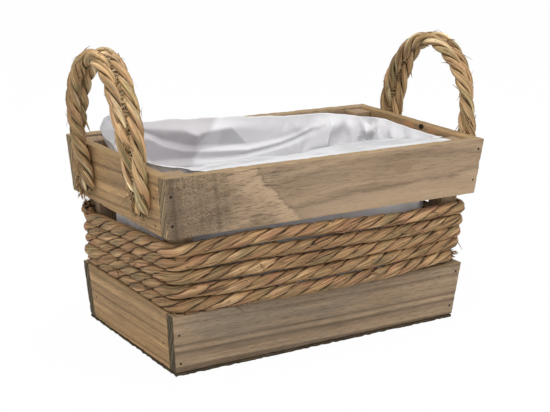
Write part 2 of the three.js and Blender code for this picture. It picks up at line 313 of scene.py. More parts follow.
TURN_TO_GRAIN = {
    "X": (0.0, 0.0, 0.0),
    "Y": (0.0, 0.0, -math.pi / 2),
    "Z": (0.0, math.pi / 2, 0.0),
}
FAR = 9.0
WEATHERED = srgb(122, 113, 98)


def heart_stripe(colour, tones, shifted, along, across, heart):
    """Adds a pale stripe across a board, with a ragged edge and a dark line."""
    heart_at, lean, width = heart
    ragged = shifted.scaled(20.0, 20.0, 34.0).grain(1.0, 4.0, 0.6) - 0.5
    edge = along - across * lean - heart_at + ragged * 0.050
    band = edge.step(-0.030, 0.004) * edge.step(width + 0.004, width - 0.001)
    colour = colour.mix(tones[0], band * 0.8)
    return colour.mix(tones[2], abs(edge - width - 0.002).step(0.004, 0.0) * 0.28)


def low_stripe(colour, tones, shifted, along, across, low_band):
    """Adds a pale band along a board's lower edge, and gives the share of it at a point."""
    low_at, slope, start = low_band
    ragged = shifted.scaled(30.0, 30.0, 60.0).grain(1.0, 3.0, 0.6) - 0.5
    edge = across - along * slope - low_at + ragged * 0.012
    clear = edge.step(0.0025, -0.0025) * along.step(start - 0.03, start + 0.02)
    line = abs(edge - 0.003).step(0.003, 0.0) * along.step(start, start + 0.05)
    colour = colour.mix(tones[0], clear * 0.5)
    return colour.mix(tones[2], line * 0.2), clear


def knot_spots(colour, blotch, along, across, knots):
    """Adds round or long spots, each with its own colour."""
    for knot_at, knot_height, size, stretch, knot_colour in knots:
        off = along - knot_at
        rise = across - knot_height
        uneven = (blotch - 0.5) * (size * size * (1.2 - stretch) * 2.0)
        near = (off * off * stretch + rise * rise + uneven).step(size * size, 0.3 * size * size)
        colour = colour.mix(opaque(knot_colour), near * (0.75 + stretch * 0.4))
    return colour


def sawn_faces(colour, tones, start, shifted, turned, grain, seed):
    """Adds fresher wood on the upper edge, and rings on the cut ends."""
    pale, mid, _, fresh, cut = tones
    normal = start.node("ShaderNodeNewGeometry", output="Normal")
    upper = normal.part("Z").step(0.55, 0.92)
    worn = shifted.grain(90.0, 2.0).step(0.25, 0.6)
    streaky = shifted.scaled(30.0, 260.0, 260.0).grain(1.0, 2.0)
    fresh_tone = streaky.ramp((0.25, mid), (0.55, fresh), (0.85, pale))
    colour = colour.mix(fresh_tone, upper * (worn * 0.6 + 0.3))
    ends = abs(normal.part(grain)).step(0.6, 0.85)
    ring_line = (turned.part("Z") * 260.0 + turned.part("Y") * 620.0 + seed).line_grain(3.0)
    cut_colour = Vector(cut[:3])
    cut_tone = ring_line.ramp((0.36, cut_colour * 0.3), (0.52, cut_colour), (0.68, cut_colour * 2.1))
    return colour.mix(cut_tone, ends)


def wood_finish(name, colours, grain="X", seed=0.0, tilt=0.0, lines=150.0, contrast=1.0, warp=0.008,
                flecks=0.4, fleck_at=(-FAR, FAR), sawn_until=-FAR, heart=None, knots=(), grey=0.3,
                arch=None, low_band=None):
    """Weathered board: fibres, ring lines, flecks, blotches, a rough sawn patch, pale stripes and knots."""
    tones = [opaque(colour) for colour in colours]
    pale, mid, dark = tones[:3]
    finish, start, shader = new_finish(name, 0.2)
    point = start.node("ShaderNodeTexCoord", output="Object")
    turned = start.node("ShaderNodeMapping", {}, {"Vector": point, "Rotation": TURN_TO_GRAIN[grain]})
    own_place = (seed * 0.731, seed * 0.417, seed * 0.293)
    shifted = start.node("ShaderNodeVectorMath", {"operation": "ADD"}, {0: turned, 1: own_place})
    along = turned.part("X")
    depth = turned.part("Y")
    across = turned.part("Z")
    bend = shifted.scaled(5.0, 16.0, 16.0).grain(1.0, 2.0) - 0.5
    ring = across + along * tilt + depth * 0.3 + bend * warp
    if arch:
        from_top = along - arch[0]
        ring = ring + from_top * from_top * arch[1]
    rings = (ring * lines + seed * 7.3).line_grain(2.0, 0.55)
    fibres = shifted.scaled(16.0, 260.0, 430.0).grain(1.0, 3.0, 0.6)
    blotch = shifted.scaled(15.0, 30.0, 36.0).grain(1.0, 3.0, 0.55)
    fading = shifted.scaled(9.0, 24.0, 70.0).grain(1.0, 1.0).step(0.36, 0.60)
    tone = (fibres - 0.5) * 0.4 + (blotch - 0.5) * 0.4 + (rings - 0.5) * (0.45 * contrast) + 0.52
    colour = tone.ramp((0.12, dark), (0.50, mid), (0.82, pale))
    colour = colour.mix(pale, rings.step(0.56, 0.67) * fading * (0.7 * contrast))
    colour = colour.mix(dark, rings.step(0.40, 0.30) * (0.3 * contrast))
    grey_patch = shifted.scaled(9.0, 24.0, 30.0).grain(1.0, 2.0, 0.5, 0.6).step(0.50, 0.70)
    colour = colour.mix(opaque(WEATHERED), grey_patch * grey)
    if heart:
        colour = heart_stripe(colour, tones, shifted, along, across, heart)
    clear = 0.0
    if low_band:
        colour, clear = low_stripe(colour, tones, shifted, along, across, low_band)
    fleck_place = (along - fleck_at[0]).step(-0.02, 0.02) * (along - fleck_at[1]).step(0.02, -0.02)
    fleck = shifted.scaled(105.0, 500.0, 1250.0).grain(1.0, 1.5).step(0.54, 0.67) * (fleck_place * 0.5 + 0.5)
    colour = colour.mix(dark, fleck * (1.0 - clear * 0.7) * flecks)
    sawn = (along - sawn_until + (blotch - 0.5) * 0.06).step(0.02, -0.02)
    band = (along * 60.0 + across * 9.0 + seed * 3.1).line_grain(2.0, 0.6).step(0.40, 0.70)
    speck = shifted.scaled(620.0, 760.0, 1000.0).grain(1.0, 2.5, 0.6).step(0.44, 0.66)
    colour = colour.mix(dark, sawn * (band * 0.58 + 0.22))
    colour = colour.mix(dark, speck * (sawn * 0.66 + 0.10))
    colour = knot_spots(colour, blotch, along, across, knots)
    if grain != "Z":
        colour = sawn_faces(colour, tones, start, shifted, turned, grain, seed)
    colour.feed(shader, "Base Color")
    ((fibres - 0.5) * 0.2 + 0.8).feed(shader, "Roughness")
    height = fibres * 0.7 + rings * 0.3 - fleck * 0.8 - speck * (sawn * 0.7 + 0.1) + band * sawn * 0.3
    height.bump(shader, 0.5, 0.0007)
    return finish


# Turns of the leaves round their strand in a metre
LEAF_TWIST = 14.0


def leaf_finish(name, settings, length, strips, far_darkening=0.0):
    """Twisted dry leaves: strips along the strand, fine fibres, creases, splits and grooves, with painted
    shade in the creases, the splits and the grooves.
    """
    colours = (settings.pale, settings.tan, settings.pink, settings.green, settings.dark)
    pale, tan, pink, green, dark = (opaque(colour) for colour in colours)
    finish, start, shader = new_finish(name, 0.25)
    lie = start.node("ShaderNodeUVMap", {"uv_map": "fibre"})
    share = lie.part("X")
    along = share * length
    around = lie.part("Y") + along * LEAF_TWIST
    seat = start.node("ShaderNodeAttribute", {"attribute_name": "strand"}, output="Fac")
    groove = start.node("ShaderNodeAttribute", {"attribute_name": "groove"}, output="Fac")

    def lined(along_scale, around_scale, detail, shift=0.0):
        point = start.node(
            "ShaderNodeCombineXYZ", {},
            {"X": along * along_scale, "Y": around * around_scale, "Z": seat * 9.7 + shift})
        return point.grain(1.0, detail, 0.55)

    leaf = lined(16.0, strips * 0.6, 1.0)
    hue = lined(36.0, 1.6, 1.0, 3.7)
    strip = lined(14.0, strips * 1.1, 1.0, 5.2)
    fibre = lined(30.0, strips * 2.6, 3.0, 8.1)
    thread = lined(70.0, strips * 7.0, 1.0, 11.9)
    fleck = lined(190.0, strips * 2.2, 1.0, 21.0)
    colour = leaf.ramp((0.24, green), (0.40, tan), (0.54, tan), (0.72, pale))
    colour = colour.mix(pink, hue.step(0.50, 0.66) * 0.6)
    colour = colour.mix(green, hue.step(0.46, 0.30) * 0.65)
    shade = (fibre - 0.5) * 2.0 + (thread - 0.5) * 1.1 + 1.0
    # The leaves turn darker towards the far end of the rope
    if far_darkening:
        shade = shade * (1.0 - share.step(0.40, 0.72) * far_darkening)
    grey = start.node("ShaderNodeCombineXYZ", {}, {"X": shade, "Y": shade, "Z": shade})
    colour = colour.mix(grey, 1.0, "MULTIPLY")
    # Painted shade in the creases and in the splits between leaf strips
    shaded_crease = abs(strip - 0.5).step(0.07, 0.015)
    shaded_split = strip.step(0.34, 0.26)
    colour = colour.mix(dark, shaded_crease * 0.4)
    colour = colour.mix(dark, shaded_split * 0.8)
    colour = colour.mix(dark, fleck.step(0.64, 0.76) * 0.45)
    # Painted shade in the grooves where strands meet
    colour = colour.mix(dark, groove)
    colour.feed(shader, "Base Color")
    ((fibre - 0.5) * 0.3 + 0.66).feed(shader, "Roughness")
    (fibre - shaded_crease * 0.7 - shaded_split * 0.9).bump(shader, 0.7, 0.0008)
    return finish


def base_finish(settings):
    """Coarse dark sheet with short fibres."""
    finish, start, shader = new_finish("base_sheet_wood", 0.15)
    point = start.node("ShaderNodeTexCoord", output="Object")
    fibres = point.scaled(60.0, 160.0, 520.0).grain(1.0, 4.0, 0.65)
    blotch = point.grain(38.0, 3.0)
    tone = fibres * 0.6 + blotch * 0.5
    base = Vector(settings.base_colour)
    colour = tone.ramp((0.28, base * 0.35), (0.52, base), (0.82, base * 2.1))
    colour.feed(shader, "Base Color")
    (0.95 - blotch * 0.2).feed(shader, "Roughness")
    fibres.bump(shader, 0.8, 0.001)
    return finish


# Place along the crate, height and size in m of painted shadow pockets in the film's back right corner
FILM_SHADE_SPOTS = ((0.1360, 0.1625, 0.0060), (0.1335, 0.1480, 0.0062), (0.1285, 0.1430, 0.0040))
LIT_FILM = (0.95, 0.95, 0.96)


def film_finish(settings):
    """Milky film with soft gloss and creases, with painted shade where it lies in one layer, on a panel
    beside that, in its pockets and on its hem, and a painted highlight on a lit panel.
    """
    finish, start, shader = new_finish("milky_film", 0.25)
    shader.inputs["Alpha"].default_value = settings.opacity
    point = start.node("ShaderNodeTexCoord", output="Object")
    place = point.part("X")
    depth = point.part("Y")
    height = point.part("Z")
    cloud = point.grain(14.0, 2.0)
    crinkle = point.grain(110.0, 3.0, 0.5, 0.8)
    fold = abs(point.scaled(22.0, 22.0, 40.0).grain(1.0, 1.0, 0.5, 0.7) - 0.5)
    base = Vector(settings.colour)
    # Painted shade where the film lies in one layer: the shaded boards behind darken it
    single_shade_tone = Vector((base.x * 0.64, base.y * 0.61, base.z * 0.62))
    at_back = depth.step(0.03, 0.05)
    single_shade = (place - height * 0.742 + (cloud - 0.5) * 0.02).step(-0.1390, -0.1480) * at_back
    # Painted shade on a panel of the back wall beside that
    patch = (place + height * 1.027).step(0.1660, 0.1620)
    patch = patch * height.step(0.1440, 0.1465) * height.step(0.1640, 0.1600)
    patch = patch * at_back * (1.0 - single_shade)
    lit = (place - height * 0.66).step(-0.0470, -0.0462) * (place + height * 0.283).step(0.1060, 0.1054)
    lit = lit * height.step(0.1515, 0.1525) * at_back
    colour = cloud.ramp((0.3, base * 0.90), (0.7, base))
    colour = colour.mix(opaque(single_shade_tone), single_shade * (0.55 + cloud * 0.5))
    colour = colour.mix(opaque(base * 0.68), patch * (place.step(-0.0200, -0.0100) * 0.5 + 0.5))
    colour = colour.mix(opaque(LIT_FILM), lit * 0.7)
    ragged = (point.grain(260.0, 3.0) - 0.5) * 0.00004
    behind = depth.step(0.0, 0.02)
    # Painted shadows in the pockets of the crumpled back right corner
    for spot_at, spot_height, size in FILM_SHADE_SPOTS:
        off = place - spot_at
        rise = height - spot_height
        near = (off * off * 0.8 + rise * rise + ragged).step(size * size, 0.0)
        colour = colour.mix(opaque(base * 0.50), near * behind * 0.65)
    # Painted shade on the film's fold over the rim and on its hem, lighter in streaks
    rim_shade = height.step(RIM - 0.003, RIM + 0.001) * (1.0 - at_back * place.step(-0.124, -0.114))
    streak = point.scaled(26.0, 300.0, 26.0).grain(1.0, 2.0).step(0.40, 0.62)
    colour = colour.mix(opaque(base * 0.57), rim_shade * (0.95 - streak * 0.4))
    colour.feed(shader, "Base Color")
    (0.30 + crinkle * 0.16).feed(shader, "Roughness")
    (crinkle * 0.12 + fold).bump(shader, 0.2, 0.003)
    return finish


def nail_finish(settings):
    """Dull dark steel with rust."""
    finish, start, shader = new_finish("dull_steel")
    point = start.node("ShaderNodeTexCoord", output="Object")
    stain = point.grain(900.0, 3.0)
    rust = stain.step(0.42, 0.62)
    colour = rust.ramp((0.0, settings.colour), (1.0, settings.rust))
    colour.feed(shader, "Base Color")
    (0.8 - rust * 0.6).feed(shader, "Metallic")
    (0.45 + rust * 0.4).feed(shader, "Roughness")
    return finish


# Meshes
def link_piece(name, mesh, finish, nodes):
    """Makes the finished object of a piece, which stands for CAD nodes on the one body."""
    bmesh.ops.recalc_face_normals(mesh, faces=mesh.faces)
    data = bpy.data.meshes.new(name)
    mesh.to_mesh(data)
    mesh.free()
    data.shade_smooth()
    data.materials.append(finish)
    piece = bpy.data.objects.new(name, data)
    bpy.context.scene.collection.objects.link(piece)
    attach(piece, "root")
    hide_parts(*nodes)
    return piece


def long_edges(mesh, axis):
    """Edges that run along one axis."""
    found = []
    for edge in mesh.edges:
        run = edge.verts[1].co - edge.verts[0].co
        if abs(run[axis]) > 1e-6 and abs(run[axis]) > 0.9 * run.length:
            found.append(edge)
    return found


def worn_block(sizes, place, settings, step, seed, wear=1.0):
    """A block of the given size, placed by a function of its three shares, with eased, chipped edges."""
    mesh = bmesh.new()
    bmesh.ops.create_cube(mesh, size=1.0)
    for axis, size in enumerate(sizes):
        cuts = max(1, round(size / step) - 1)
        bmesh.ops.subdivide_edges(mesh, edges=long_edges(mesh, axis), cuts=cuts, use_grid_fill=False)
    for vert in mesh.verts:
        vert.co = place(*(value + 0.5 for value in vert.co))
    mesh.normal_update()
    bmesh.ops.recalc_face_normals(mesh, faces=mesh.faces)
    sharp = [edge for edge in mesh.edges if edge.calc_face_angle(0.0) > 0.6]
    bevelled = bmesh.ops.bevel(
        mesh, geom=sharp, offset=settings.edge_ease, segments=2, profile=0.5, affect="EDGES", material=-1)
    on_edge = set(bevelled["verts"])
    mesh.normal_update()
    own_place = Vector((seed * 0.37, seed * 0.61, seed * 0.17))
    for vert in mesh.verts:
        spot = vert.co + own_place
        swell = noise.noise(spot * 45.0) * 0.00012
        if vert in on_edge:
            chip = max(0.0, noise.noise(spot * 160.0) - 0.05) + max(0.0, noise.noise(spot * 420.0)) * 0.5
            swell -= chip * settings.edge_wear * wear
        vert.co += vert.normal * swell
    return mesh


def tube(mesh, rings, strand=0.0, groove=None):
    """Wraps a grid into a closed tube through rings of points."""
    count, sides = rings.shape[:2]
    strands = np.broadcast_to(strand, (count,))
    made = bmesh.ops.create_grid(mesh, x_segments=count - 1, y_segments=sides, size=1.0, calc_uvs=True)
    if len(made["verts"]) != count * (sides + 1):
        raise RuntimeError("the grid of a tube has an unexpected number of points")
    strand_layer = mesh.verts.layers.float["strand"]
    groove_shade_layer = mesh.verts.layers.float["groove"]
    for vert in made["verts"]:
        ring = round((vert.co.x + 1) / 2 * (count - 1))
        side = round((vert.co.y + 1) / 2 * sides) % sides
        vert.co = rings[ring, side]
        vert[strand_layer] = strands[ring]
        if groove is not None:
            vert[groove_shade_layer] = groove[ring, side]
    bmesh.ops.remove_doubles(mesh, verts=made["verts"], dist=1e-7)


def new_tube_mesh():
    """A mesh with the map and values that the leaf finish reads."""
    mesh = bmesh.new()
    mesh.loops.layers.uv.new("fibre")
    mesh.verts.layers.float.new("strand")
    mesh.verts.layers.float.new("groove")
    return mesh


def unit(vectors):
    """Vectors made one long."""
    return vectors / np.maximum(np.linalg.norm(vectors, axis=-1, keepdims=True), 1e-12)


def resampled(points, step):
    """Points an even step apart along a line, and the line's length."""
    lengths = np.concatenate([[0.0], np.cumsum(np.linalg.norm(np.diff(points, axis=0), axis=1))])
    count = max(2, int(round(lengths[-1] / step)) + 1)
    even = np.linspace(0.0, lengths[-1], count)
    return np.stack([np.interp(even, lengths, points[:, axis]) for axis in range(3)], axis=1), lengths[-1]


def softened(values, reach):
    """Values along a line averaged with their neighbours, with the ends kept."""
    reach = max(1, int(reach))
    weights = np.hanning(2 * reach + 3)[1:-1]
    weights /= weights.sum()
    before = 2 * values[0] - values[1:reach + 1][::-1]
    after = 2 * values[-1] - values[-reach - 1:-1][::-1]
    return np.convolve(np.concatenate([before, values, after]), weights, "valid")


def wave(count, step, size, seed):
    """Smooth random values between about -1 and 1 along a line."""
    return np.array([noise.noise((index * step / size, seed * 5.77, seed * 1.31)) for index in range(count)])


def fibres(batch, roots, ways, lengths, widths, draws, droop=0.25, flatness=1.0, normals=None):
    """Loose fibres, or flat leaf ends that face along normals, that curl away from their roots."""
    for number, (root, way, length, width) in enumerate(zip(roots, ways, lengths, widths)):
        side = unit(np.cross(way, draws.normal(size=3)))
        facing = side + 0.3 * way
        curl = draws.uniform(-0.8, 0.8)
        if normals is not None:
            facing = normals[number]
            side = unit(np.cross(facing, way))
            curl *= 0.4
        share = np.linspace(0.0, 1.0, 7)[:, None]
        line = root + way * share * length + side * (curl * length * 0.5) * share ** 2
        line[:, 2] -= droop * length * share[:, 0] ** 2
        along = unit(np.gradient(line, axis=0))
        first = unit(np.cross(facing, along))
        second = np.cross(along, first)
        angle = np.arange(4) * (math.pi / 2)
        thin = width * (1.0 - 0.7 * share ** 2)
        rings = (line[:, None, :]
                 + first[:, None, :] * (np.cos(angle)[None, :, None] * thin[:, None, :])
                 + second[:, None, :] * (np.sin(angle)[None, :, None] * thin[:, None, :] * flatness))
        rings[0] = line[0]
        rings[-1] = line[-1]
        batch.append((rings, draws.uniform(0.0, 6.0)))


def fibre_mesh(batch):
    """One mesh of all the loose fibres of a piece."""
    mesh = new_tube_mesh()
    strands = np.concatenate([np.full(len(rings), strand) for rings, strand in batch])
    tube(mesh, np.concatenate([rings for rings, strand in batch]), strands)
    bridges = [edge for edge in mesh.edges if edge.is_wire]
    bmesh.ops.delete(mesh, geom=bridges, context="EDGES")
    return mesh


def rounded(values, fullness):
    """Sines or cosines of a circle made squarer."""
    return np.sign(values) * np.abs(values) ** (2 / fullness)


def strand_valley(section, strands):
    """How far from the middle of a rope two of its strands meet, for a strand of size one."""
    from_middle, half_depth, half_breadth, fullness = section
    edge = np.linspace(0.0, math.pi, 200)
    edge_out = from_middle + half_depth * rounded(np.cos(edge), fullness)
    edge_aside = half_breadth * rounded(np.sin(edge), fullness)
    meeting = np.argmax(np.arctan2(edge_aside, edge_out) >= math.pi / strands)
    return math.hypot(edge_out[meeting], edge_aside[meeting])


STRAND_SIDES = 16
TIP_LENGTH = 7 * MM
KNOT_LENGTH = 4 * MM
# Lobes round a strand and how far they stand out
STRAND_LOBES = ((3, 0.035), (5, 0.05), (7, 0.04))
# A strand's distance from the middle, half its depth, half its breadth and how square it is
WOUND_SECTION = (0.50, 0.50, 0.70, 2.2)
HANDLE_SECTION = (0.52, 0.48, 0.58, 2.0)


def laid_rope(meshes, line, outward, length, settings, seed, section, flat=1.0, knots=(), press=None):
    """Adds the laid strands of a rope along a line, one to each mesh."""
    step = settings.mesh_step
    size = settings.size
    count = len(line)
    place = np.arange(count) * step
    along = unit(np.gradient(line, axis=0))
    outward = unit(outward - along * np.einsum("rk,rk->r", outward, along)[:, None])
    upward = np.cross(outward, along)
    flat = np.broadcast_to(flat, (count,))
    turn = 2 * math.pi * place / settings.pitch + wave(count, step, 0.11, seed) * 0.7
    tip = smooth(-0.35, 1.0, np.minimum(place, length - place) / TIP_LENGTH)
    bulge = sum((0.17 * np.exp(-0.5 * ((place - knot) / KNOT_LENGTH) ** 2) for knot in knots), np.ones(count))
    from_middle, half_depth, half_breadth, fullness = section
    angle = math.pi + np.arange(STRAND_SIDES) * (2 * math.pi / STRAND_SIDES)
    deep = rounded(np.cos(angle), fullness)
    wide = rounded(np.sin(angle), fullness)
    valley = strand_valley(section, len(meshes))
    for strand, mesh in enumerate(meshes):
        phase = turn + 2 * math.pi * strand / len(meshes)
        radial = np.cos(phase)[:, None] * outward + np.sin(phase)[:, None] * upward
        tangent = -np.sin(phase)[:, None] * outward + np.cos(phase)[:, None] * upward
        own = seed + 5.0 * strand
        fat = 1.0 + 0.13 * wave(count, step, 0.028, own + 1) + 0.06 * wave(count, step, 0.009, own + 2)
        lobes = np.ones((count, STRAND_SIDES))
        for number, (folds, depth) in enumerate(STRAND_LOBES):
            drift = folds * 2 * math.pi * LEAF_TWIST * place + 2.0 * wave(count, step, 0.05, own + 3 + number)
            lobes += depth * np.cos(folds * angle[None, :] + drift[:, None])
        grown = lobes * (fat * tip)[:, None]
        out = size * bulge[:, None] * (from_middle + half_depth * deep[None, :] * grown)
        aside = size * bulge[:, None] * half_breadth * wide[None, :] * grown
        offset = radial[:, None, :] * out[:, :, None] + tangent[:, None, :] * aside[:, :, None]
        outwards = np.einsum("rsk,rk->rs", offset, outward)
        offset -= outward[:, None, :] * (outwards * (1.0 - flat)[:, None])[:, :, None]
        rings = line[:, None, :] + offset
        # Painted shade in the valley where two strands meet, for the leaf finish to darken
        groove = smooth(valley + 0.13, valley, np.hypot(out, aside) / size)
        if press:
            press(rings)
        rings[0] = rings[0].mean(axis=0)
        rings[-1] = rings[-1].mean(axis=0)
        tube(mesh, rings, strand=own, groove=groove)
    return along, outward, upward


def loose_leaves(batch, line, frames, size, draws, kind):
    """Adds loose leaf ends or hairs at random places on a rope."""
    count, lengths, widths, flatness = kind
    along, outward, upward = frames
    picks = draws.integers(12, len(line) - 12, size=count)
    around = draws.uniform(0.0, 2 * math.pi, size=count)
    lift = np.cos(around)[:, None] * outward[picks] + np.sin(around)[:, None] * upward[picks]
    aside = -np.sin(around)[:, None] * outward[picks] + np.cos(around)[:, None] * upward[picks]
    lean = draws.normal(0.25, 0.35, size=count)[:, None]
    heading = draws.choice([-1.0, 1.0], size=count)[:, None]
    rise = draws.uniform(0.08, 0.5, size=count)[:, None]
    ways = unit((along[picks] + aside * lean) * heading + lift * rise)
    roots = line[picks] + lift * (size * 0.9)
    fibres(batch, roots, ways, draws.uniform(*lengths, count), draws.uniform(*widths, count), draws,
           0.15, flatness, lift)


def frayed_end(batch, root, way, draws, kind):
    """Adds a tuft of leaf fibres to the end of a rope."""
    count, spread, lengths, widths = kind
    roots = root + draws.normal(scale=spread, size=(count, 3))
    ways = unit(way + draws.normal(scale=0.35, size=(count, 3)))
    fibres(batch, roots, ways, draws.uniform(*lengths, count), draws.uniform(*widths, count), draws,
           0.2, 0.35, draws.normal(size=(count, 3)))


# Boards, first the long ones
BOARD_LOOKS = {
    "collar_front": {"seed": 3.0, "tilt": 0.15, "lines": 90.0, "contrast": 0.36, "warp": 0.030, "flecks": 0.6,
                     "fleck_at": (-0.115, -0.045), "sawn_until": -0.104, "heart": (0.0479, -0.79, 0.010),
                     "grey": 0.35, "arch": (0.16, 0.8), "low_band": (0.1303, 0.057, -0.03),
                     "knots": ((0.0706, 0.151, 0.0060, 0.3, srgb(146, 122, 97)),)},
    "collar_back": {"seed": 8.0, "tilt": -0.05, "lines": 130.0, "contrast": 0.6, "flecks": 0.5},
    "lower_front": {"seed": 5.0, "tilt": 0.008, "contrast": 1.2, "warp": 0.004, "flecks": 0.3, "grey": 0.5},
    "lower_back": {"seed": 11.0, "tilt": 0.03, "grey": 0.4},
    "collar_left": {"seed": 2.0, "tilt": 0.06, "contrast": 1.25, "warp": 0.010, "grey": 0.25},
    "collar_right": {"seed": 7.0, "tilt": -0.04, "lines": 170.0, "contrast": 0.7, "grey": 0.15,
                     "knots": ((0.003, 0.1645, 0.0042, 0.16, srgb(176, 128, 92)),
                               (-0.030, 0.1645, 0.0040, 0.16, srgb(172, 130, 92)),
                               # A near-black spot: painted shade inside a knot hole
                               (-0.0146, 0.1655, 0.0034, 0.6, srgb(16, 11, 8)))},
    "lower_left": {"seed": 4.0, "tilt": 0.02, "contrast": 1.15, "flecks": 0.35, "grey": 0.12},
    "lower_right": {"seed": 9.0, "tilt": 0.05, "lines": 160.0, "grey": 0.15},
}
LONG_SIDES = ("front", "back")
TIER_LEVELS = {"lower": (LOWER_BOTTOM, LOWER_TOP), "collar": (COLLAR_BOTTOM, RIM)}


def level_thicknesses(thickness):
    """Thickness of the leaning end boards and side boards, measured level."""
    return thickness * math.hypot(1.0, END_SLOPE), thickness * math.hypot(1.0, SIDE_SLOPE)


def board_placer(tier, side, thickness):
    """A function that places a point of a board by its shares along, through and up the board."""
    end_board, side_board = level_thicknesses(thickness)
    bottom, top = TIER_LEVELS[tier]
    sign = SIDE_SIGNS[side]

    def place_long(along, depth, height):
        z = bottom + height * (top - bottom)
        return Vector(((2 * along - 1) * half_length(z), sign * (half_width(z) - depth * side_board), z))

    def place_short(along, depth, height):
        z = bottom + height * (top - bottom)
        reach = half_width(z) - side_board - SEAT_GAP
        return Vector((sign * (half_length(z) - depth * end_board), (2 * along - 1) * reach, z))

    return place_long if side in LONG_SIDES else place_short


class BASKET_OT_boards(bpy.types.Operator):
    """Makes the eight boards of both tiers"""

    bl_idname = "basket.boards"
    bl_label = "Boards"

    def execute(self, context):
        settings = context.scene.basket_wood
        thickness = settings.board_thickness
        cuts = {"collar": settings.collar_cut, "lower": settings.lower_cut}
        shares = {"collar": 1.0, "lower": settings.low_share}
        side_colours = (settings.side_pale, settings.side_mid, settings.side_dark, settings.fresh_edge)
        end_colours = (settings.end_pale, settings.end_mid, settings.end_dark, settings.fresh_edge)
        for key, look in BOARD_LOOKS.items():
            tier, side = key.split("_")
            bottom, top = TIER_LEVELS[tier]
            if side in LONG_SIDES:
                reach, grain, slot = half_length(top), "X", "side_wood"
                colours = [Vector(colour) * shares[tier] for colour in side_colours]
            else:
                reach, grain, slot = half_width(top), "Y", "end_wood"
                colours = list(end_colours)
            sizes = (2 * reach, thickness, top - bottom)
            place = board_placer(tier, side, thickness)
            mesh = worn_block(sizes, place, settings, settings.mesh_step, look["seed"])
            finish = wood_finish(f"{key}_wood", [*colours, cuts[tier]], grain, **look)
            link_piece(f"{key}_slat", mesh, finish, [f"{key}_board"])
        return {"FINISHED"}


POSTS = (("front", "left"), ("front", "right"), ("back", "left"), ("back", "right"))
POST_STEP = 0.005
POST_WEAR = 1.4


def post_placer(side, end, settings):
    """A function that places a point of a post by its shares through and up the post."""
    end_board, side_board = level_thicknesses(settings.board_thickness)
    size = settings.post_size

    def place_post(first, second, height):
        z = LOWER_BOTTOM + height * (POST_TOP - LOWER_BOTTOM)
        return Vector((SIDE_SIGNS[end] * (half_length(z) - end_board - SEAT_GAP - first * size),
                       SIDE_SIGNS[side] * (half_width(z) - side_board - SEAT_GAP - second * size), z))

    return place_post


class BASKET_OT_posts(bpy.types.Operator):
    """Makes the four corner posts"""

    bl_idname = "basket.posts"
    bl_label = "Posts"

    def execute(self, context):
        settings = context.scene.basket_wood
        colours = (settings.end_mid, settings.side_mid, settings.side_dark,
                   settings.fresh_edge, settings.lower_cut)
        sizes = (settings.post_size, settings.post_size, POST_TOP)
        for seed, (side, end) in enumerate(POSTS):
            place = post_placer(side, end, settings)
            mesh = worn_block(sizes, place, settings, POST_STEP, seed + 20.0, POST_WEAR)
            finish = wood_finish(f"{side}_{end}_post_wood", colours, "Z", seed=seed + 13.0, lines=200.0)
            link_piece(f"{side}_{end}_upright", mesh, finish, [f"{side}_{end}_post"])
        return {"FINISHED"}


BASE_STEP = 0.0022
BASE_WEAR = 1.2
# Share of the way out where the base's ragged edge starts, its height in m and how far it draws in
RAGGED_FROM = 0.985
RAGGED_HEIGHT = 0.0011
RAGGED_SHRINK = 0.004


class BASKET_OT_base(bpy.types.Operator):
    """Makes the ragged base sheet"""

    bl_idname = "basket.base"
    bl_label = "Base sheet"

    def execute(self, context):
        settings = context.scene.basket_wood

        def place_base(along, across, height):
            z = height * BASE_TOP
            return Vector(((2 * along - 1) * half_length(z), (2 * across - 1) * half_width(z), z))

        sizes = (2 * BASE_HIGH.x, 2 * BASE_HIGH.y, BASE_TOP)
        mesh = worn_block(sizes, place_base, settings, BASE_STEP, 31.0, BASE_WEAR)
        for vert in mesh.verts:
            over_x = abs(vert.co.x) / half_length(vert.co.z)
            over_y = abs(vert.co.y) / half_width(vert.co.z)
            if max(over_x, over_y) > RAGGED_FROM and vert.co.z < 0.5 * BASE_TOP:
                ragged = max(0.0, noise.noise(vert.co * 210.0) + 0.12)
                vert.co.z += RAGGED_HEIGHT * ragged
                shrink = 1.0 - RAGGED_SHRINK * ragged
                vert.co.x *= shrink
                vert.co.y *= shrink
        link_piece("base_sheet", mesh, base_finish(settings), ["base_board"])
        return {"FINISHED"}


# Nails
def nail_line(node):
    """Head, direction into the wood and length of a nail, from its solid."""
    points = np.array([vert.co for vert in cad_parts[node].data.vertices], float)
    middle = points.mean(axis=0)
    axis = np.linalg.svd(points - middle)[2][0]
    along = (points - middle) @ axis
    radial = np.linalg.norm(points - middle - along[:, None] * axis, axis=1)
    if along[radial > 0.9 * radial.max()].mean() > 0:
        axis = -axis
        along = -along
    head = middle + axis * along.min()
    return Vector(head), Vector(axis), float(along.max() - along.min())


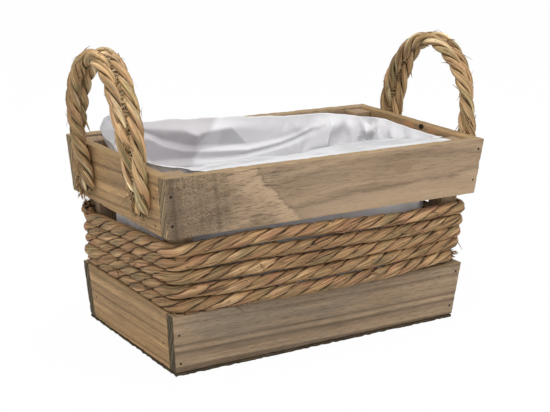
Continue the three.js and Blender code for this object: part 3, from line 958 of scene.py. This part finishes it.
class BASKET_OT_nails(bpy.types.Operator):
    """Makes the nails, each with a domed head"""

    bl_idname = "basket.nails"
    bl_label = "Nails"

    def execute(self, context):
        settings = context.scene.basket_nails
        finish = nail_finish(settings)
        head = settings.head_width / 2
        shank = settings.shank_width / 2
        for node in sorted(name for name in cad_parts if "_nail" in name):
            start, inward, length = nail_line(node)
            if "handle" in node:
                start = start + inward * settings.sunk
            profile = [(0.0, -0.00035), (0.55 * head, -0.00030), (0.9 * head, -0.00015), (head, 0.0001),
                       (shank, 0.0006), (shank, length - 0.0015), (0.0, length)]
            mesh = bmesh.new()
            verts = [mesh.verts.new((radius, 0.0, reach)) for radius, reach in profile]
            edges = [mesh.edges.new(pair) for pair in zip(verts, verts[1:])]
            bmesh.ops.spin(mesh, geom=verts + edges, cent=(0, 0, 0), axis=(0, 0, 1), angle=2 * math.pi,
                           steps=10, use_merge=True)
            bmesh.ops.remove_doubles(mesh, verts=mesh.verts, dist=1e-6)
            turn = Vector((0, 0, 1)).rotation_difference(inward).to_matrix().to_4x4()
            bmesh.ops.transform(mesh, matrix=Matrix.Translation(start) @ turn, verts=mesh.verts)
            link_piece(node.replace("_nail", "_tack"), mesh, finish, [node])
        return {"FINISHED"}


# Rope
ROPE_OFFSET = 5.0 * MM
ROPE_BEND = 8.0 * MM
# Heights in mm of each run at the back left, the front left, three places between, the front right
# and the back right
RUN_LEVELS = [
    (97.5, 106.2, 109.0, 107.5, 104.2, 104.9, 103.5),
    (86.8, 95.0, 96.5, 94.4, 92.4, 92.8, 91.5),
    (76.6, 83.6, 83.8, 82.5, 82.1, 82.2, 80.5),
    (67.2, 71.2, 70.2, 70.8, 70.8, 72.0, 71.0),
    (58.8, 59.0, 58.9, 58.3, 59.0, 61.5, 61.5),
]
FRONT_SHARES = (0.0, 0.24, 0.5, 0.76, 1.0)
FRONT_BOWS = (3.0, 4.0, 5.0, 6.0, 8.5)
BACK_BOW = 4.0 * MM
STUB_TOP = 111.0 * MM
STUB_BEND = 7.0 * MM
# The run that its neighbours push out at the back left, and how far
PUSHED_RUN = 3
PUSH = 3.0 * MM
# Knots in the rope, as a run and a place along the front in m
ROPE_KNOTS = ((0, 0.012), (2, -0.070), (1, 0.085), (3, 0.040))
# Loose leaves and hairs of a rope: their number, lengths, widths and flatness
ROPE_LEAVES = (260, (5 * MM, 13 * MM), (0.4 * MM, 1.0 * MM), 0.16)
ROPE_HAIRS = (150, (4 * MM, 13 * MM), (0.1 * MM, 0.2 * MM), 1.0)
# Tufts at the rope's ends and knots: their number of fibres, spread, lengths and widths
START_TUFT = (34, 1.7 * MM, (4 * MM, 9 * MM), (0.3 * MM, 0.9 * MM))
END_TUFT = (34, 1.7 * MM, (4 * MM, 10 * MM), (0.3 * MM, 0.9 * MM))
KNOT_TUFT = (10, 1.6 * MM, (2 * MM, 5 * MM), (0.3 * MM, 0.8 * MM))


def rope_line(post_gap_x, post_gap_y):
    """Points along the middle of the wound rope."""
    points = []

    def bend_centre(z):
        middle_x = half_length(z) - post_gap_x + ROPE_OFFSET - ROPE_BEND
        middle_y = half_width(z) - post_gap_y + ROPE_OFFSET - ROPE_BEND
        return middle_x, middle_y

    def corner(sign_x, sign_y, start, z):
        middle_x, middle_y = bend_centre(z)
        for share in np.linspace(0.0, 1.0, 13)[1:-1]:
            angle = start + share * math.pi / 2
            points.append((sign_x * middle_x + ROPE_BEND * math.cos(angle),
                           sign_y * middle_y + ROPE_BEND * math.sin(angle), z))

    def end_run(sign_x, start_z, end_z, first=-1.0, push=0.0):
        for share in np.linspace(first, 1.0, 41):
            z = start_z + (end_z - start_z) * (share - first) / (1.0 - first)
            middle_x, middle_y = bend_centre(z)
            out = push * smooth(0.1, -0.9, share)
            points.append((sign_x * (middle_x + ROPE_BEND + out), sign_x * share * middle_y, z))

    def long_run(sign_y, shares, levels, bow):
        for share in np.linspace(0.0, 1.0, 81):
            z = np.interp(share, shares, levels)
            middle_x, middle_y = bend_centre(z)
            slack = 4 * share * (1 - share)
            points.append((-sign_y * middle_x * (2 * share - 1),
                           sign_y * (middle_y + ROPE_BEND + bow * slack), z))

    start_z = RUN_LEVELS[0][0] * MM
    stub_x, stub_y = bend_centre(STUB_TOP)
    stub_y -= 2.0 * MM
    for z in np.linspace(STUB_TOP, start_z + STUB_BEND, 6):
        points.append((-stub_x - ROPE_BEND, stub_y, z))
    for share in np.linspace(0.0, math.pi / 2, 10)[1:]:
        points.append((-bend_centre(start_z)[0] - ROPE_BEND, stub_y - STUB_BEND * (1 - math.cos(share)),
                       start_z + STUB_BEND * (1 - math.sin(share))))
    first = -(stub_y - STUB_BEND) / bend_centre(start_z)[1]
    for run, levels in enumerate(RUN_LEVELS):
        back_left, front_left, back_right = levels[0] * MM, levels[1] * MM, levels[6] * MM
        front = [level * MM for level in levels[1:6]]
        end_run(-1, back_left, front_left, first, PUSH if run == PUSHED_RUN else 0.0)
        first = -1.0
        corner(-1, -1, math.pi, front_left)
        long_run(-1, FRONT_SHARES, front, FRONT_BOWS[run] * MM)
        if run + 1 < len(RUN_LEVELS):
            next_z = RUN_LEVELS[run + 1][0] * MM
            corner(1, -1, -math.pi / 2, front[-1])
            end_run(1, front[-1], back_right)
            corner(1, 1, 0.0, back_right)
            held_up = 0.45 * back_right + 0.55 * next_z
            long_run(1, (0.0, 0.8, 1.0), (back_right, held_up, next_z), BACK_BOW)
            corner(-1, 1, math.pi / 2, next_z)
    last = points[-1]
    points.append((last[0] + 4.0 * MM, last[1] - 0.4 * MM, last[2]))
    return np.array(points)


def pressed_on_boards(rings):
    """Pushes points of the rope out of the lower boards."""
    low = rings[:, :, 2] < LOWER_TOP + 0.4 * MM
    face = half_width(rings[:, :, 2]) + 0.4 * MM
    inside = low & (np.abs(rings[:, :, 1]) < face) & (np.abs(rings[:, :, 1]) > face - 14 * MM)
    rings[:, :, 1] = np.where(inside, np.sign(rings[:, :, 1]) * face, rings[:, :, 1])


class BASKET_OT_rope(bpy.types.Operator):
    """Makes the wound rope of three laid strands"""

    bl_idname = "basket.rope"
    bl_label = "Rope"

    def execute(self, context):
        settings = context.scene.basket_rope
        wood = context.scene.basket_wood
        draws = np.random.default_rng(11)
        gap_x, gap_y = (board + SEAT_GAP for board in level_thicknesses(wood.board_thickness))
        step = settings.mesh_step
        line, length = resampled(rope_line(gap_x, gap_y), step)
        for axis, reach in enumerate((2.0, 2.0, 12.0)):
            kept = line[:, axis].copy()
            line[:, axis] = softened(line[:, axis], reach * MM / step)
            if axis == 2:
                near_start = int(30 * MM / step)
                line[:near_start, 2] = softened(kept, 2 * MM / step)[:near_start]
        count = len(line)
        line[:, 2] += wave(count, step, 0.045, 1.0) * 0.0005
        along = unit(np.gradient(line, axis=0))
        level_along = unit(along * (1.0, 1.0, 0.0) + (0.0, -1e-4, 0.0))
        outward = np.cross(level_along, (0.0, 0.0, 1.0))
        line += outward * (wave(count, step, 0.05, 2.0) * 0.0004)[:, None]
        hanging = np.abs(line[:, 1]) - np.abs(half_width(line[:, 2]) - gap_y) - 5 * MM
        flat = 0.86 + 0.10 * np.clip(hanging, 0, 5 * MM) / (5 * MM)
        knots = []
        for run, x in ROPE_KNOTS:
            spot = np.array((x, -half_width(RUN_LEVELS[run][3] * MM), RUN_LEVELS[run][3] * MM))
            knots.append(step * int(np.argmin(np.linalg.norm(line - spot, axis=1))))
        meshes = [new_tube_mesh() for strand in range(3)]
        frames = laid_rope(meshes, line, outward, length, settings, 3.0, WOUND_SECTION, flat, knots,
                           pressed_on_boards)
        along, outward, _ = frames
        batch = []
        frayed_end(batch, line[3], -along[3], draws, START_TUFT)
        frayed_end(batch, line[-4], along[-4], draws, END_TUFT)
        loose_leaves(batch, line, frames, settings.size, draws, ROPE_LEAVES)
        loose_leaves(batch, line, frames, settings.size, draws, ROPE_HAIRS)
        for knot in knots:
            at = int(knot / step)
            root = line[at] + outward[at] * 4.5 * MM
            frayed_end(batch, root, outward[at] * 0.5 + along[at] * 0.3, draws, KNOT_TUFT)
        finish = leaf_finish("rope_leaves", settings, length, 6.0)
        for strand, mesh in enumerate(meshes):
            link_piece(f"rope_strand_{strand + 1}", mesh, finish, ["rope_winding"])
        link_piece("rope_fibres", fibre_mesh(batch), finish, ["rope_winding"])
        return {"FINISHED"}


# Handles
HANDLES = {
    "left": {"half_span": 51.0, "rise": 81.8, "centre": -4.8, "tilt": 2.1},
    "right": {"half_span": 56.0, "rise": 76.3, "centre": -2.4, "tilt": 5.6},
}
FOOT_LENGTH = 40.0 * MM
FOOT_FLAT = 10.0 * MM
TWIST_ABOVE_RIM = 85.0 * MM
HANDLE_LEAN = math.radians(-1.0)
HANDLE_WIDTH = 23.5 * MM
HANDLE_THICKNESS = 12.0 * MM
# Frayed lengths in mm at the near and the far end of each of a handle's two ropes
FRAYED = ((3.0, 14.0), (18.0, 3.0))
FRAYED_LONG = 8 * MM
LONG_TUFT = (9, 2.0 * MM, (5 * MM, 11 * MM), (0.5 * MM, 1.5 * MM))
SHORT_TUFT = (4, 2.0 * MM, (1.5 * MM, 3.5 * MM), (0.5 * MM, 1.5 * MM))
HANDLE_LEAVES = (34, (5 * MM, 14 * MM), (0.4 * MM, 1.1 * MM), 0.16)
HANDLE_HAIRS = (30, (4 * MM, 11 * MM), (0.1 * MM, 0.2 * MM), 1.0)


def handle_line(side, shape, step):
    """Points along the middle of a handle, its width and thickness directions."""
    sign = SIDE_SIGNS[side]
    span = shape["half_span"] * MM
    rise = shape["rise"] * MM
    tilt = math.radians(shape["tilt"])
    foot = np.linspace(-FOOT_LENGTH, 0.0, 60, endpoint=False)
    bow = np.linspace(0.0, math.pi, 500)
    local_u = np.concatenate([np.full(60, -span), -span * np.cos(bow), np.full(60, span)])
    local_v = np.concatenate([foot, rise * np.sin(bow), foot[::-1]])
    flat = np.stack([local_u, local_v, np.zeros_like(local_u)], axis=1)
    flat, length = resampled(flat, step)
    local_u, local_v = flat[:, 0], flat[:, 1]
    y = shape["centre"] * MM + local_u * math.cos(tilt) + local_v * math.sin(tilt)
    z = RIM + local_v * math.cos(tilt) - local_u * math.sin(tilt)
    twist = (math.pi / 2) * smooth(FOOT_FLAT - FOOT_LENGTH, TWIST_ABOVE_RIM, local_v)
    depth = np.hypot(HANDLE_THICKNESS * np.cos(twist), HANDLE_WIDTH * np.sin(twist)) / 2
    above = np.maximum(0.0, z - RIM) * math.tan(HANDLE_LEAN)
    x = sign * (half_length(np.minimum(z, RIM)) + SEAT_GAP + depth + above)
    line = np.stack([x, y, z], axis=1)
    along = unit(np.gradient(line, axis=0))
    outside = unit(np.stack([np.zeros_like(x), -along[:, 2], along[:, 1]], axis=1))
    sideways = np.cross(along, outside) * sign
    wide = outside * np.cos(twist)[:, None] - sideways * np.sin(twist)[:, None]
    thick = outside * np.sin(twist)[:, None] + sideways * np.cos(twist)[:, None]
    return line, along, wide, thick, length


class BASKET_OT_handles(bpy.types.Operator):
    """Makes the two handles, each of two laid ropes side by side"""

    bl_idname = "basket.handles"
    bl_label = "Handles"

    def execute(self, context):
        settings = context.scene.basket_handles
        step = settings.mesh_step
        for number, (side, shape) in enumerate(HANDLES.items()):
            draws = np.random.default_rng(21 + number)
            middle, along, wide, thick, length = handle_line(side, shape, step)
            count = len(middle)
            mesh = new_tube_mesh()
            batch = []
            for rope, way in enumerate((1.0, -1.0)):
                seed = 40.0 + 60.0 * number + 25.0 * rope
                spread = settings.spread + 0.0007 * wave(count, step, 0.03, seed + 20)
                line = middle + wide * (way * spread)[:, None]
                line += thick * (0.0009 * wave(count, step, 0.035, seed + 21))[:, None]
                first, last = (int(size * MM / step) for size in FRAYED[rope])
                for frayed, end, heading in ((first, 0, -1.0), (last, count - 1, 1.0)):
                    tuft = LONG_TUFT if frayed * step > FRAYED_LONG else SHORT_TUFT
                    for root in range(max(0, frayed - int(9 * MM / step)), frayed + 6, 2):
                        at = abs(end - root)
                        lifted = heading * along[at] + thick[at] * draws.uniform(-0.1, 0.6)
                        frayed_end(batch, line[at], lifted, draws, tuft)
                kept = slice(first, count - last)
                line = line[kept]
                kept_length = (len(line) - 1) * step
                frames = laid_rope([mesh] * 3, line, thick[kept], kept_length, settings, seed, HANDLE_SECTION)
                loose_leaves(batch, line, frames, settings.size, draws, HANDLE_LEAVES)
                loose_leaves(batch, line, frames, settings.size, draws, HANDLE_HAIRS)
            lacing = np.arange(int(6 * MM / step), count - int(6 * MM / step), int(4 * MM / step))
            laces = len(lacing)
            for face in (1.0, -1.0):
                facing = thick[lacing] * face
                slant = draws.normal(0.5, 0.5, size=laces)[:, None]
                heading = draws.choice([-1.0, 1.0], size=laces)[:, None]
                ways = unit(wide[lacing] * heading + along[lacing] * slant)
                roots = middle[lacing] + facing * 3.0 * MM - ways * 3.5 * MM
                fibres(batch, roots, ways, draws.uniform(6 * MM, 11 * MM, laces),
                       draws.uniform(0.6 * MM, 2.0 * MM, laces), draws, 0.0, 0.2, facing)
            finish = leaf_finish(f"{side}_handle_leaves", settings, length, 4.0, 0.24)
            nodes = [f"{side}_handle"]
            link_piece(f"{side}_rope_handle", mesh, finish, nodes)
            link_piece(f"{side}_handle_fibres", fibre_mesh(batch), finish, nodes)
        return {"FINISHED"}


# Liner
BAG_INSET = 12.5 * MM
BAG_CUT = 38.0 * MM
HEM_INSET = 11.4 * MM
HEM_NOTCH = 15.4 * MM
FILM_FLOOR = LOWER_BOTTOM + 1.6 * MM
# Share of the way across the hem, and its rise in mm there
HEM_FOLDS = ((0.08, 0.5), (0.2, 0.1), (0.34, 1.5), (0.44, 0.4), (0.58, 1.2), (0.72, 0.3), (0.86, 0.7),
             (1.0, 0.0))
# Turn in degrees round the bag from the right end by way of the back, then in mm the height of the
# film's fold over the rim and its distance from the wall, and how much of its hem comes back to the wall
TOP_EDGE = (
    (0, -6, 0, 0), (25, -4, 1, 0), (42, -3, 2, 0), (50, -2, 1, 0), (57, -2, 0, 0), (67, -1, 0, 0),
    (80, 1.2, 0, 0), (87, 3.3, 0, 0), (102, 4.7, 0, 0), (116, 6.7, 0, 0), (130, 7, 0, 0), (135, 9, -1, 0),
    (138, 16, -3, 0), (141, 19, -5, 0), (144, 18, -7, 0), (148, 11, -8, 0), (151, 5, -3, 0),
    (155, 2, 6, 0.2), (163, 2, 10, 0.7), (172, 2, 10, 1), (186, 2, 9, 1), (194, 1, 8, 1), (200, 1, 7, 0.7),
    (206, 0, 3, 0.25), (214, -1, 1, 0.15), (221, -1, 1, 0.2), (225, 0, 3, 0.6), (229, 2, 6, 1),
    (234, 3, 9, 1), (242, 3, 9, 1), (255, 1.5, 8, 1), (263, 1.5, 9, 1), (271, 3, 10, 1), (281, 4, 12, 1),
    (292, 4.5, 13, 1), (301, 3.5, 11, 1), (309, 1, 8, 1), (315, -1, 4, 1), (323, -4, 2, 0.6),
    (329, -5, 1, 0.2), (336, -6, 0, 0), (360, -6, 0, 0),
)
# Turn in degrees and how loosely the film lies there
LOOSE = ((0, 0.6), (40, 0.8), (58, 0.7), (70, 0.2), (100, 0.15), (124, 0.3), (140, 0.7), (200, 0.8),
         (225, 0.8), (240, 0.5), (300, 0.5), (318, 0.7), (360, 0.6))
FACETS = 420
# Fold lines across the back from the top down, as points of place, height and distance from the wall in mm
BACK_FOLDS = (
    ((-150, 180, 1.0), (150, 180, 1.0)),
    ((-150, 171, 4), (-91, 169, 4.5), (-62, 166, 5), (-54, 165, 5.5), (-43, 159, 9), (-36, 160.7, 6.5),
     (-21, 162.5, 5), (0, 162.5, 2.5), (40, 164, 1), (110, 166, 0)),
    ((-150, 168, 1), (-91, 166, 0.5), (-73, 157.4, 0.3), (-54, 151, 0), (-34, 148, 0), (-2, 145.3, 0),
     (14, 143.2, 0), (33, 144.2, 0.3), (53, 146, 0.5), (70, 150.2, 0.5), (88, 156.3, 0.5), (110, 163, 0)),
    ((-150, 163, 3), (-91, 161, 4), (-73, 152, 4), (-54, 146, 4.5), (-34, 143.5, 4.5), (-2, 141, 4.5),
     (14, 139.5, 4), (33, 141, 3), (53, 143, 2.5), (70, 147, 2), (88, 153, 1.5), (110, 160, 0)),
    ((-150, 140, 1.5), (-60, 138.5, 1.5), (-44, 138, 1), (-29, 136, 0.5), (-2, 135.9, 0.5), (14, 136.5, 0.5),
     (33, 138, 0.5), (53, 140.5, 0.5), (70, 144.5, 0.5), (88, 150, 0.3), (110, 157, 0)),
    ((-150, 132, 4), (-44, 133, 5), (-29, 132.5, 5), (-2, 132, 5), (14, 133, 4), (33, 135, 3), (53, 137.5, 3),
     (70, 141, 2.5), (88, 146, 1.5), (110, 153, 0)),
    ((-150, 95, 0.5), (150, 95, 0.5)),
)
# Fold lines up the back right corner from the back to the right end, as points of height, place along
# the wall and distance from it in mm
CORNER_FOLDS = (
    ((110, 165, 0.5), (135, 160, 0.5), (150, 153, 0.5), (165, 153, 0.5)),
    ((110, 140, 1), (135, 136, 6), (150, 127.5, 8.5), (165, 122, 6)),
    ((110, 120, 0.5), (135, 119, 1), (150, 116.5, 1), (165, 116, 2)),
    ((110, 104, 1), (135, 103, 5), (150, 109, 6.5), (165, 111.5, 5)),
    ((110, 96, 0.5), (135, 93, 0.5), (150, 97, 0.5), (165, 105, 1)),
    ((110, 91, 1), (125, 89, 6), (140, 89, 3), (152, 92, 9), (165, 97, 5)),
    ((110, 82, 0.5), (135, 82, 1), (150, 84, 1.5), (165, 89, 2)),
    ((110, 72, 1), (130, 74, 3), (143, 77, 9), (155, 79, 5), (165, 81, 10)),
    ((110, 64, 0.5), (135, 66, 0.5), (150, 65, 1), (165, 72.5, 1.5)),
    ((110, 52, 1), (135, 55, 3.5), (150, 53.5, 6), (165, 63, 5)),
    ((110, 40, 0.5), (135, 40, 0.5), (150, 42, 0.5), (165, 49.5, 0.5)),
    ((110, 28, 0.5), (135, 30, 2), (150, 26, 3.5), (165, 28, 4)),
    ((110, 8, 0.5), (165, 8, 0.5)),
)


def bag_outline(z, inset, count):
    """Outline of the space inside the boards and posts, as points round it."""
    x = half_length(z) - inset
    y = half_width(z) - inset
    cut = BAG_CUT
    ring = np.array([(x, -y + cut), (x, y - cut), (x - cut, y), (-x + cut, y),
                     (-x, y - cut), (-x, -y + cut), (-x + cut, -y), (x - cut, -y), (x, -y + cut)])
    lengths = np.concatenate([[0.0], np.cumsum(np.linalg.norm(np.diff(ring, axis=0), axis=1))])
    even = np.linspace(0.0, lengths[-1], count, endpoint=False)
    outline = np.stack([np.interp(even, lengths, ring[:, axis]) for axis in range(2)], axis=1)
    for _ in range(6):
        outline = (np.roll(outline, 2, 0) + 2 * outline + np.roll(outline, -2, 0)) / 4
    return outline


def hem_outline(line, outward):
    """Where lines from the bag's fold meet the boards or posts."""
    reach = np.array([half_length(RIM) - HEM_INSET, half_width(RIM) - HEM_INSET])
    start = np.abs(line)
    pace = np.maximum(np.abs(outward), 1e-6)
    to_board = ((reach - start) / pace).min(axis=1)
    to_post = np.maximum((reach - HEM_NOTCH - start) / pace, 0.0).max(axis=1)
    return line + outward * np.minimum(to_board, to_post)[:, None]


def fold_depth(lines, along, across):
    """How far folds along the given lines stand off the wall, flat between one line and the next."""
    levels = []
    offs = []
    for line in lines:
        places, heights, distances = np.array(line, float).T * MM
        levels.append(np.interp(along, places, heights))
        offs.append(np.interp(along, places, distances))
    depth = offs[0]
    for upper in range(len(lines) - 1):
        share = np.clip((levels[upper] - across) / (levels[upper] - levels[upper + 1]), 0.0, 1.0)
        depth = depth + (offs[upper + 1] - offs[upper]) * share
    return depth


def facet_depth(place, z, draws):
    """How far the flat facets of loose film stand off the wall, as the highest of many low pyramids."""
    depth = np.zeros_like(z)
    for _ in range(FACETS):
        top_place = draws.uniform(place.min(), place.max())
        top_z = draws.uniform(RIM - 75 * MM, RIM + 8 * MM)
        fall = np.zeros_like(z)
        turn = draws.uniform(0.0, math.pi / 2)
        for side in range(4):
            angle = turn + (side + draws.uniform(-0.3, 0.3)) * math.pi / 2
            slope = draws.uniform(0.12, 0.5)
            away = (place - top_place) * math.cos(angle) + (z - top_z) * math.sin(angle)
            fall = np.maximum(fall, slope * away)
        depth = np.maximum(depth, draws.uniform(1.0, 4.0) * MM - fall)
    return depth


def blurred(field):
    """Rounds the folds of a field of depths a little."""
    tall = np.pad(field, ((1, 1), (0, 0)), mode="edge")
    field = (tall[:-2] + 2 * field + tall[2:]) / 4
    return (np.roll(field, 1, 1) + 2 * field + np.roll(field, -1, 1)) / 4


def film_inward(rim_line):
    """Directions from the rim of the bag towards its middle."""
    return -unit(rim_line / (half_length(RIM), half_width(RIM)))


def film_walls(rim_line, turn, uneven, step):
    """Rings of points up the film's folded wall, from the floor to the fold over the rim."""
    around = len(rim_line)
    places, heights, leans, _ = np.array(TOP_EDGE, float).T
    edge_height = np.interp(turn, places, heights) + uneven * 0.7 * wave(around, step, 0.022, 61)
    edge_height += uneven * 0.35 * wave(around, step, 0.007, 63)
    edge_lean = np.interp(turn, places, leans) + uneven * 1.2 * np.abs(wave(around, step, 0.03, 62))
    ways = unit(np.roll(rim_line, -1, 0) - np.roll(rim_line, 1, 0))
    off_wall = np.stack([-ways[:, 1], ways[:, 0]], axis=1)
    at_back = smooth(0.7, 0.98, -off_wall[:, 1])
    shares = np.linspace(0.0, 1.0, int((RIM - FILM_FLOOR) / step))
    levels = FILM_FLOOR + shares[:, None] * (RIM + edge_height * MM - FILM_FLOOR)
    straight_levels = FILM_FLOOR + shares * (RIM - FILM_FLOOR)
    walls = np.array([bag_outline(level, BAG_INSET, around) for level in straight_levels])
    length = np.linalg.norm(np.diff(rim_line, axis=0), axis=1).sum()
    around_place = np.broadcast_to(np.linspace(0.0, length, around), levels.shape)
    loose = np.interp(turn, *np.array(LOOSE, float).T)
    depths = 1.35 * at_back * fold_depth(BACK_FOLDS, walls[:, :, 0], levels)
    depths += 1.2 * fold_depth(CORNER_FOLDS, levels, around_place)
    depths += loose * facet_depth(around_place, levels, np.random.default_rng(17))
    depths *= smooth(0.0, 0.12, shares)[:, None] * (1.0 - 0.8 * smooth(0.92, 1.0, shares))[:, None]
    depths = depths * 0.7 + blurred(depths) * 0.3
    leaning = smooth(0.86, 1.0, shares)[:, None] * edge_lean * MM
    walls += off_wall * depths[:, :, None] + film_inward(rim_line) * leaning[:, :, None]
    return np.concatenate([walls, levels[:, :, None]], axis=2)


def film_hem(fold, rim_line, turn, uneven, step):
    """Rings of points across the film's hem, from the fold over the rim back towards the boards."""
    around = len(rim_line)
    places, _, _, hems = np.array(TOP_EDGE, float).T
    hem_share = np.interp(turn, places, hems)[:, None]
    inward = film_inward(rim_line)
    hem_end = np.column_stack([hem_outline(rim_line, -inward), np.full(around, RIM - 1.0 * MM)])
    curled = fold + np.column_stack([-inward * 0.4 * MM, np.full(around, -0.3 * MM)])
    hem_end = curled + (hem_end - curled) * hem_share
    rings = []
    for number, (share, rise) in enumerate(HEM_FOLDS):
        lift = rise * (1.0 + 0.6 * uneven * wave(around, step, 0.018, 70 + number)) * MM
        bulge = np.column_stack([np.zeros((around, 2)), lift]) * hem_share
        rings.append(fold + (hem_end - fold) * share + bulge)
    return rings


class BASKET_OT_liner(bpy.types.Operator):
    """Makes the film liner with its folds and hem"""

    bl_idname = "basket.liner"
    bl_label = "Liner"

    def execute(self, context):
        settings = context.scene.basket_liner
        step = settings.mesh_step
        around = int(3.6 * (half_length(RIM) + half_width(RIM)) / step)
        rim_line = bag_outline(RIM, BAG_INSET, around)
        turn = np.arctan2(rim_line[:, 1] / half_width(RIM), rim_line[:, 0] / half_length(RIM))
        turn = np.degrees(turn) % 360
        uneven = smooth(0, 20, turn) * smooth(360, 340, turn)
        walls = film_walls(rim_line, turn, uneven, step)
        hem = film_hem(walls[-1], rim_line, turn, uneven, step)
        floor = [walls[0] * (share, share, 1.0) for share in np.linspace(0.04, 1.0, 9, endpoint=False)]
        mesh = new_tube_mesh()
        tube(mesh, np.array([*floor, *walls, *hem]))
        open_floor = [edge for edge in mesh.edges if edge.is_boundary and edge.verts[0].co.z < LOWER_TOP]
        bmesh.ops.holes_fill(mesh, edges=open_floor)
        piece = link_piece("film_bag", mesh, film_finish(settings), ["liner"])
        return {"FINISHED"}


# Stage
SENSOR_WIDTH = 36.0
FLOOR_SIZE = 9.0
# Share of plain white in the floor where it is seen
FLOOR_WHITE = 0.97
# Place in m, width in m and power in W of each lamp, and the point that they face
LAMPS = {
    "key_lamp": ((-1.3, -1.1, 1.9), 1.6, 23.0),
    "top_lamp": ((0.1, 0.0, 2.2), 2.0, 23.0),
    "fill_lamp": ((1.6, -1.2, 0.9), 1.4, 9.0),
}
LAMP_AIM = Vector((0.0, 0.0, 0.1))


class BASKET_OT_stage(bpy.types.Operator):
    """Makes the floor, the lamps and the camera"""

    bl_idname = "basket.stage"
    bl_label = "Stage"

    def execute(self, context):
        settings = context.scene.basket_stage
        scene = context.scene
        scene.view_settings.view_transform = "Standard"
        self.make_camera(scene, settings)
        self.make_floor(scene, settings)
        self.make_sky(scene, settings)
        for name, (place, size, power) in LAMPS.items():
            self.make_lamp(scene, name, place, size, power)
        return {"FINISHED"}

    def make_camera(self, scene, settings):
        heading, dip, roll = settings.heading, settings.dip, settings.roll
        ahead = math.cos(dip)
        forward = Vector((math.sin(heading) * ahead, math.cos(heading) * ahead, -math.sin(dip)))
        level = forward.cross(Vector((0, 0, 1))).normalized()
        upright = level.cross(forward)
        right = math.cos(roll) * level + math.sin(roll) * upright
        up = -math.sin(roll) * level + math.cos(roll) * upright
        data = bpy.data.cameras.new("camera")
        data.lens = settings.lens
        data.sensor_width = SENSOR_WIDTH
        camera = bpy.data.objects.new("camera", data)
        turn = Matrix((right, up, -forward)).transposed().to_4x4()
        camera.matrix_world = Matrix.Translation(Vector(settings.camera_place)) @ turn
        scene.collection.objects.link(camera)
        scene.camera = camera

    def seen_rays(self, start):
        """One for rays that reach the picture straight, by a gloss or through a film, else none."""
        straight = start.node("ShaderNodeLightPath", output="Is Camera Ray")
        glossy = start.node("ShaderNodeLightPath", output="Is Glossy Ray")
        through = start.node("ShaderNodeLightPath", output="Is Transmission Ray")
        return (straight + glossy + through).step(0.4, 0.6)

    def make_floor(self, scene, settings):
        mesh = bmesh.new()
        bmesh.ops.create_grid(mesh, x_segments=1, y_segments=1, size=FLOOR_SIZE)
        data = bpy.data.meshes.new("floor")
        mesh.to_mesh(data)
        mesh.free()
        finish, start, shader = new_finish("pale_floor", 0.0)
        shader.inputs["Base Color"].default_value = opaque(settings.floor_colour)
        shader.inputs["Roughness"].default_value = 0.9
        white = start.node("ShaderNodeEmission", {}, {"Color": (1, 1, 1, 1), "Strength": 1.0})
        seen = self.seen_rays(start)
        output = finish.node_tree.nodes["Material Output"]
        plain = Wire(finish.node_tree, shader.outputs[0])
        surface = start.node("ShaderNodeMixShader", {}, {0: seen * FLOOR_WHITE, 1: plain, 2: white})
        finish.node_tree.links.new(surface.socket, output.inputs["Surface"])
        data.materials.append(finish)
        floor = bpy.data.objects.new("floor", data)
        scene.collection.objects.link(floor)

    def make_sky(self, scene, settings):
        sky = bpy.data.worlds.new("sky")
        scene.world = sky
        sky.use_nodes = True
        start = Wire(sky.node_tree)
        back = sky.node_tree.nodes["Background"]
        seen = self.seen_rays(start)
        back.inputs["Color"].default_value = (1.0, 1.0, 1.0, 1.0)
        strength = seen * (1.0 - settings.sky_strength) + settings.sky_strength
        strength.feed(back, "Strength")

    def make_lamp(self, scene, name, place, size, power):
        data = bpy.data.lights.new(name, "AREA")
        data.shape = "DISK"
        data.size = size
        data.energy = power
        lamp = bpy.data.objects.new(name, data)
        lamp.location = place
        aim = LAMP_AIM - Vector(place)
        lamp.rotation_euler = aim.to_track_quat("-Z", "Y").to_euler()
        scene.collection.objects.link(lamp)


class BASKET_PT_panel(bpy.types.Panel):
    """Lists the steps that make the basket"""

    bl_idname = "BASKET_PT_panel"
    bl_label = "Wooden basket"
    bl_space_type = "VIEW_3D"
    bl_region_type = "UI"
    bl_category = "Basket"

    def draw(self, context):
        for operator in OPERATORS:
            self.layout.operator(operator.bl_idname)
        for name in SETTINGS:
            box = self.layout.box()
            group = getattr(context.scene, name)
            for key in group.__annotations__:
                box.prop(group, key)


SETTINGS = {
    "basket_wood": BasketWoodSettings,
    "basket_rope": BasketRopeSettings,
    "basket_handles": BasketHandleSettings,
    "basket_liner": BasketLinerSettings,
    "basket_nails": BasketNailSettings,
    "basket_stage": BasketStageSettings,
}
OPERATORS = (
    BASKET_OT_stage,
    BASKET_OT_boards,
    BASKET_OT_posts,
    BASKET_OT_base,
    BASKET_OT_nails,
    BASKET_OT_rope,
    BASKET_OT_handles,
    BASKET_OT_liner,
)


def register():
    """Registers the settings, the operators and the panel."""
    for name, group in SETTINGS.items():
        bpy.utils.register_class(group)
        setattr(bpy.types.Scene, name, bpy.props.PointerProperty(type=group))
    for operator in OPERATORS:
        bpy.utils.register_class(operator)
    bpy.utils.register_class(BASKET_PT_panel)


def unregister():
    """Takes back what register did."""
    bpy.utils.unregister_class(BASKET_PT_panel)
    for operator in reversed(OPERATORS):
        bpy.utils.unregister_class(operator)
    for name, group in reversed(SETTINGS.items()):
        delattr(bpy.types.Scene, name)
        bpy.utils.unregister_class(group)


def main():
    """Makes the basket."""
    register()
    bpy.ops.basket.stage()
    bpy.ops.basket.boards()
    bpy.ops.basket.posts()
    bpy.ops.basket.base()
    bpy.ops.basket.nails()
    bpy.ops.basket.rope()
    bpy.ops.basket.handles()
    bpy.ops.basket.liner()


if __name__ == "__main__":
    main()
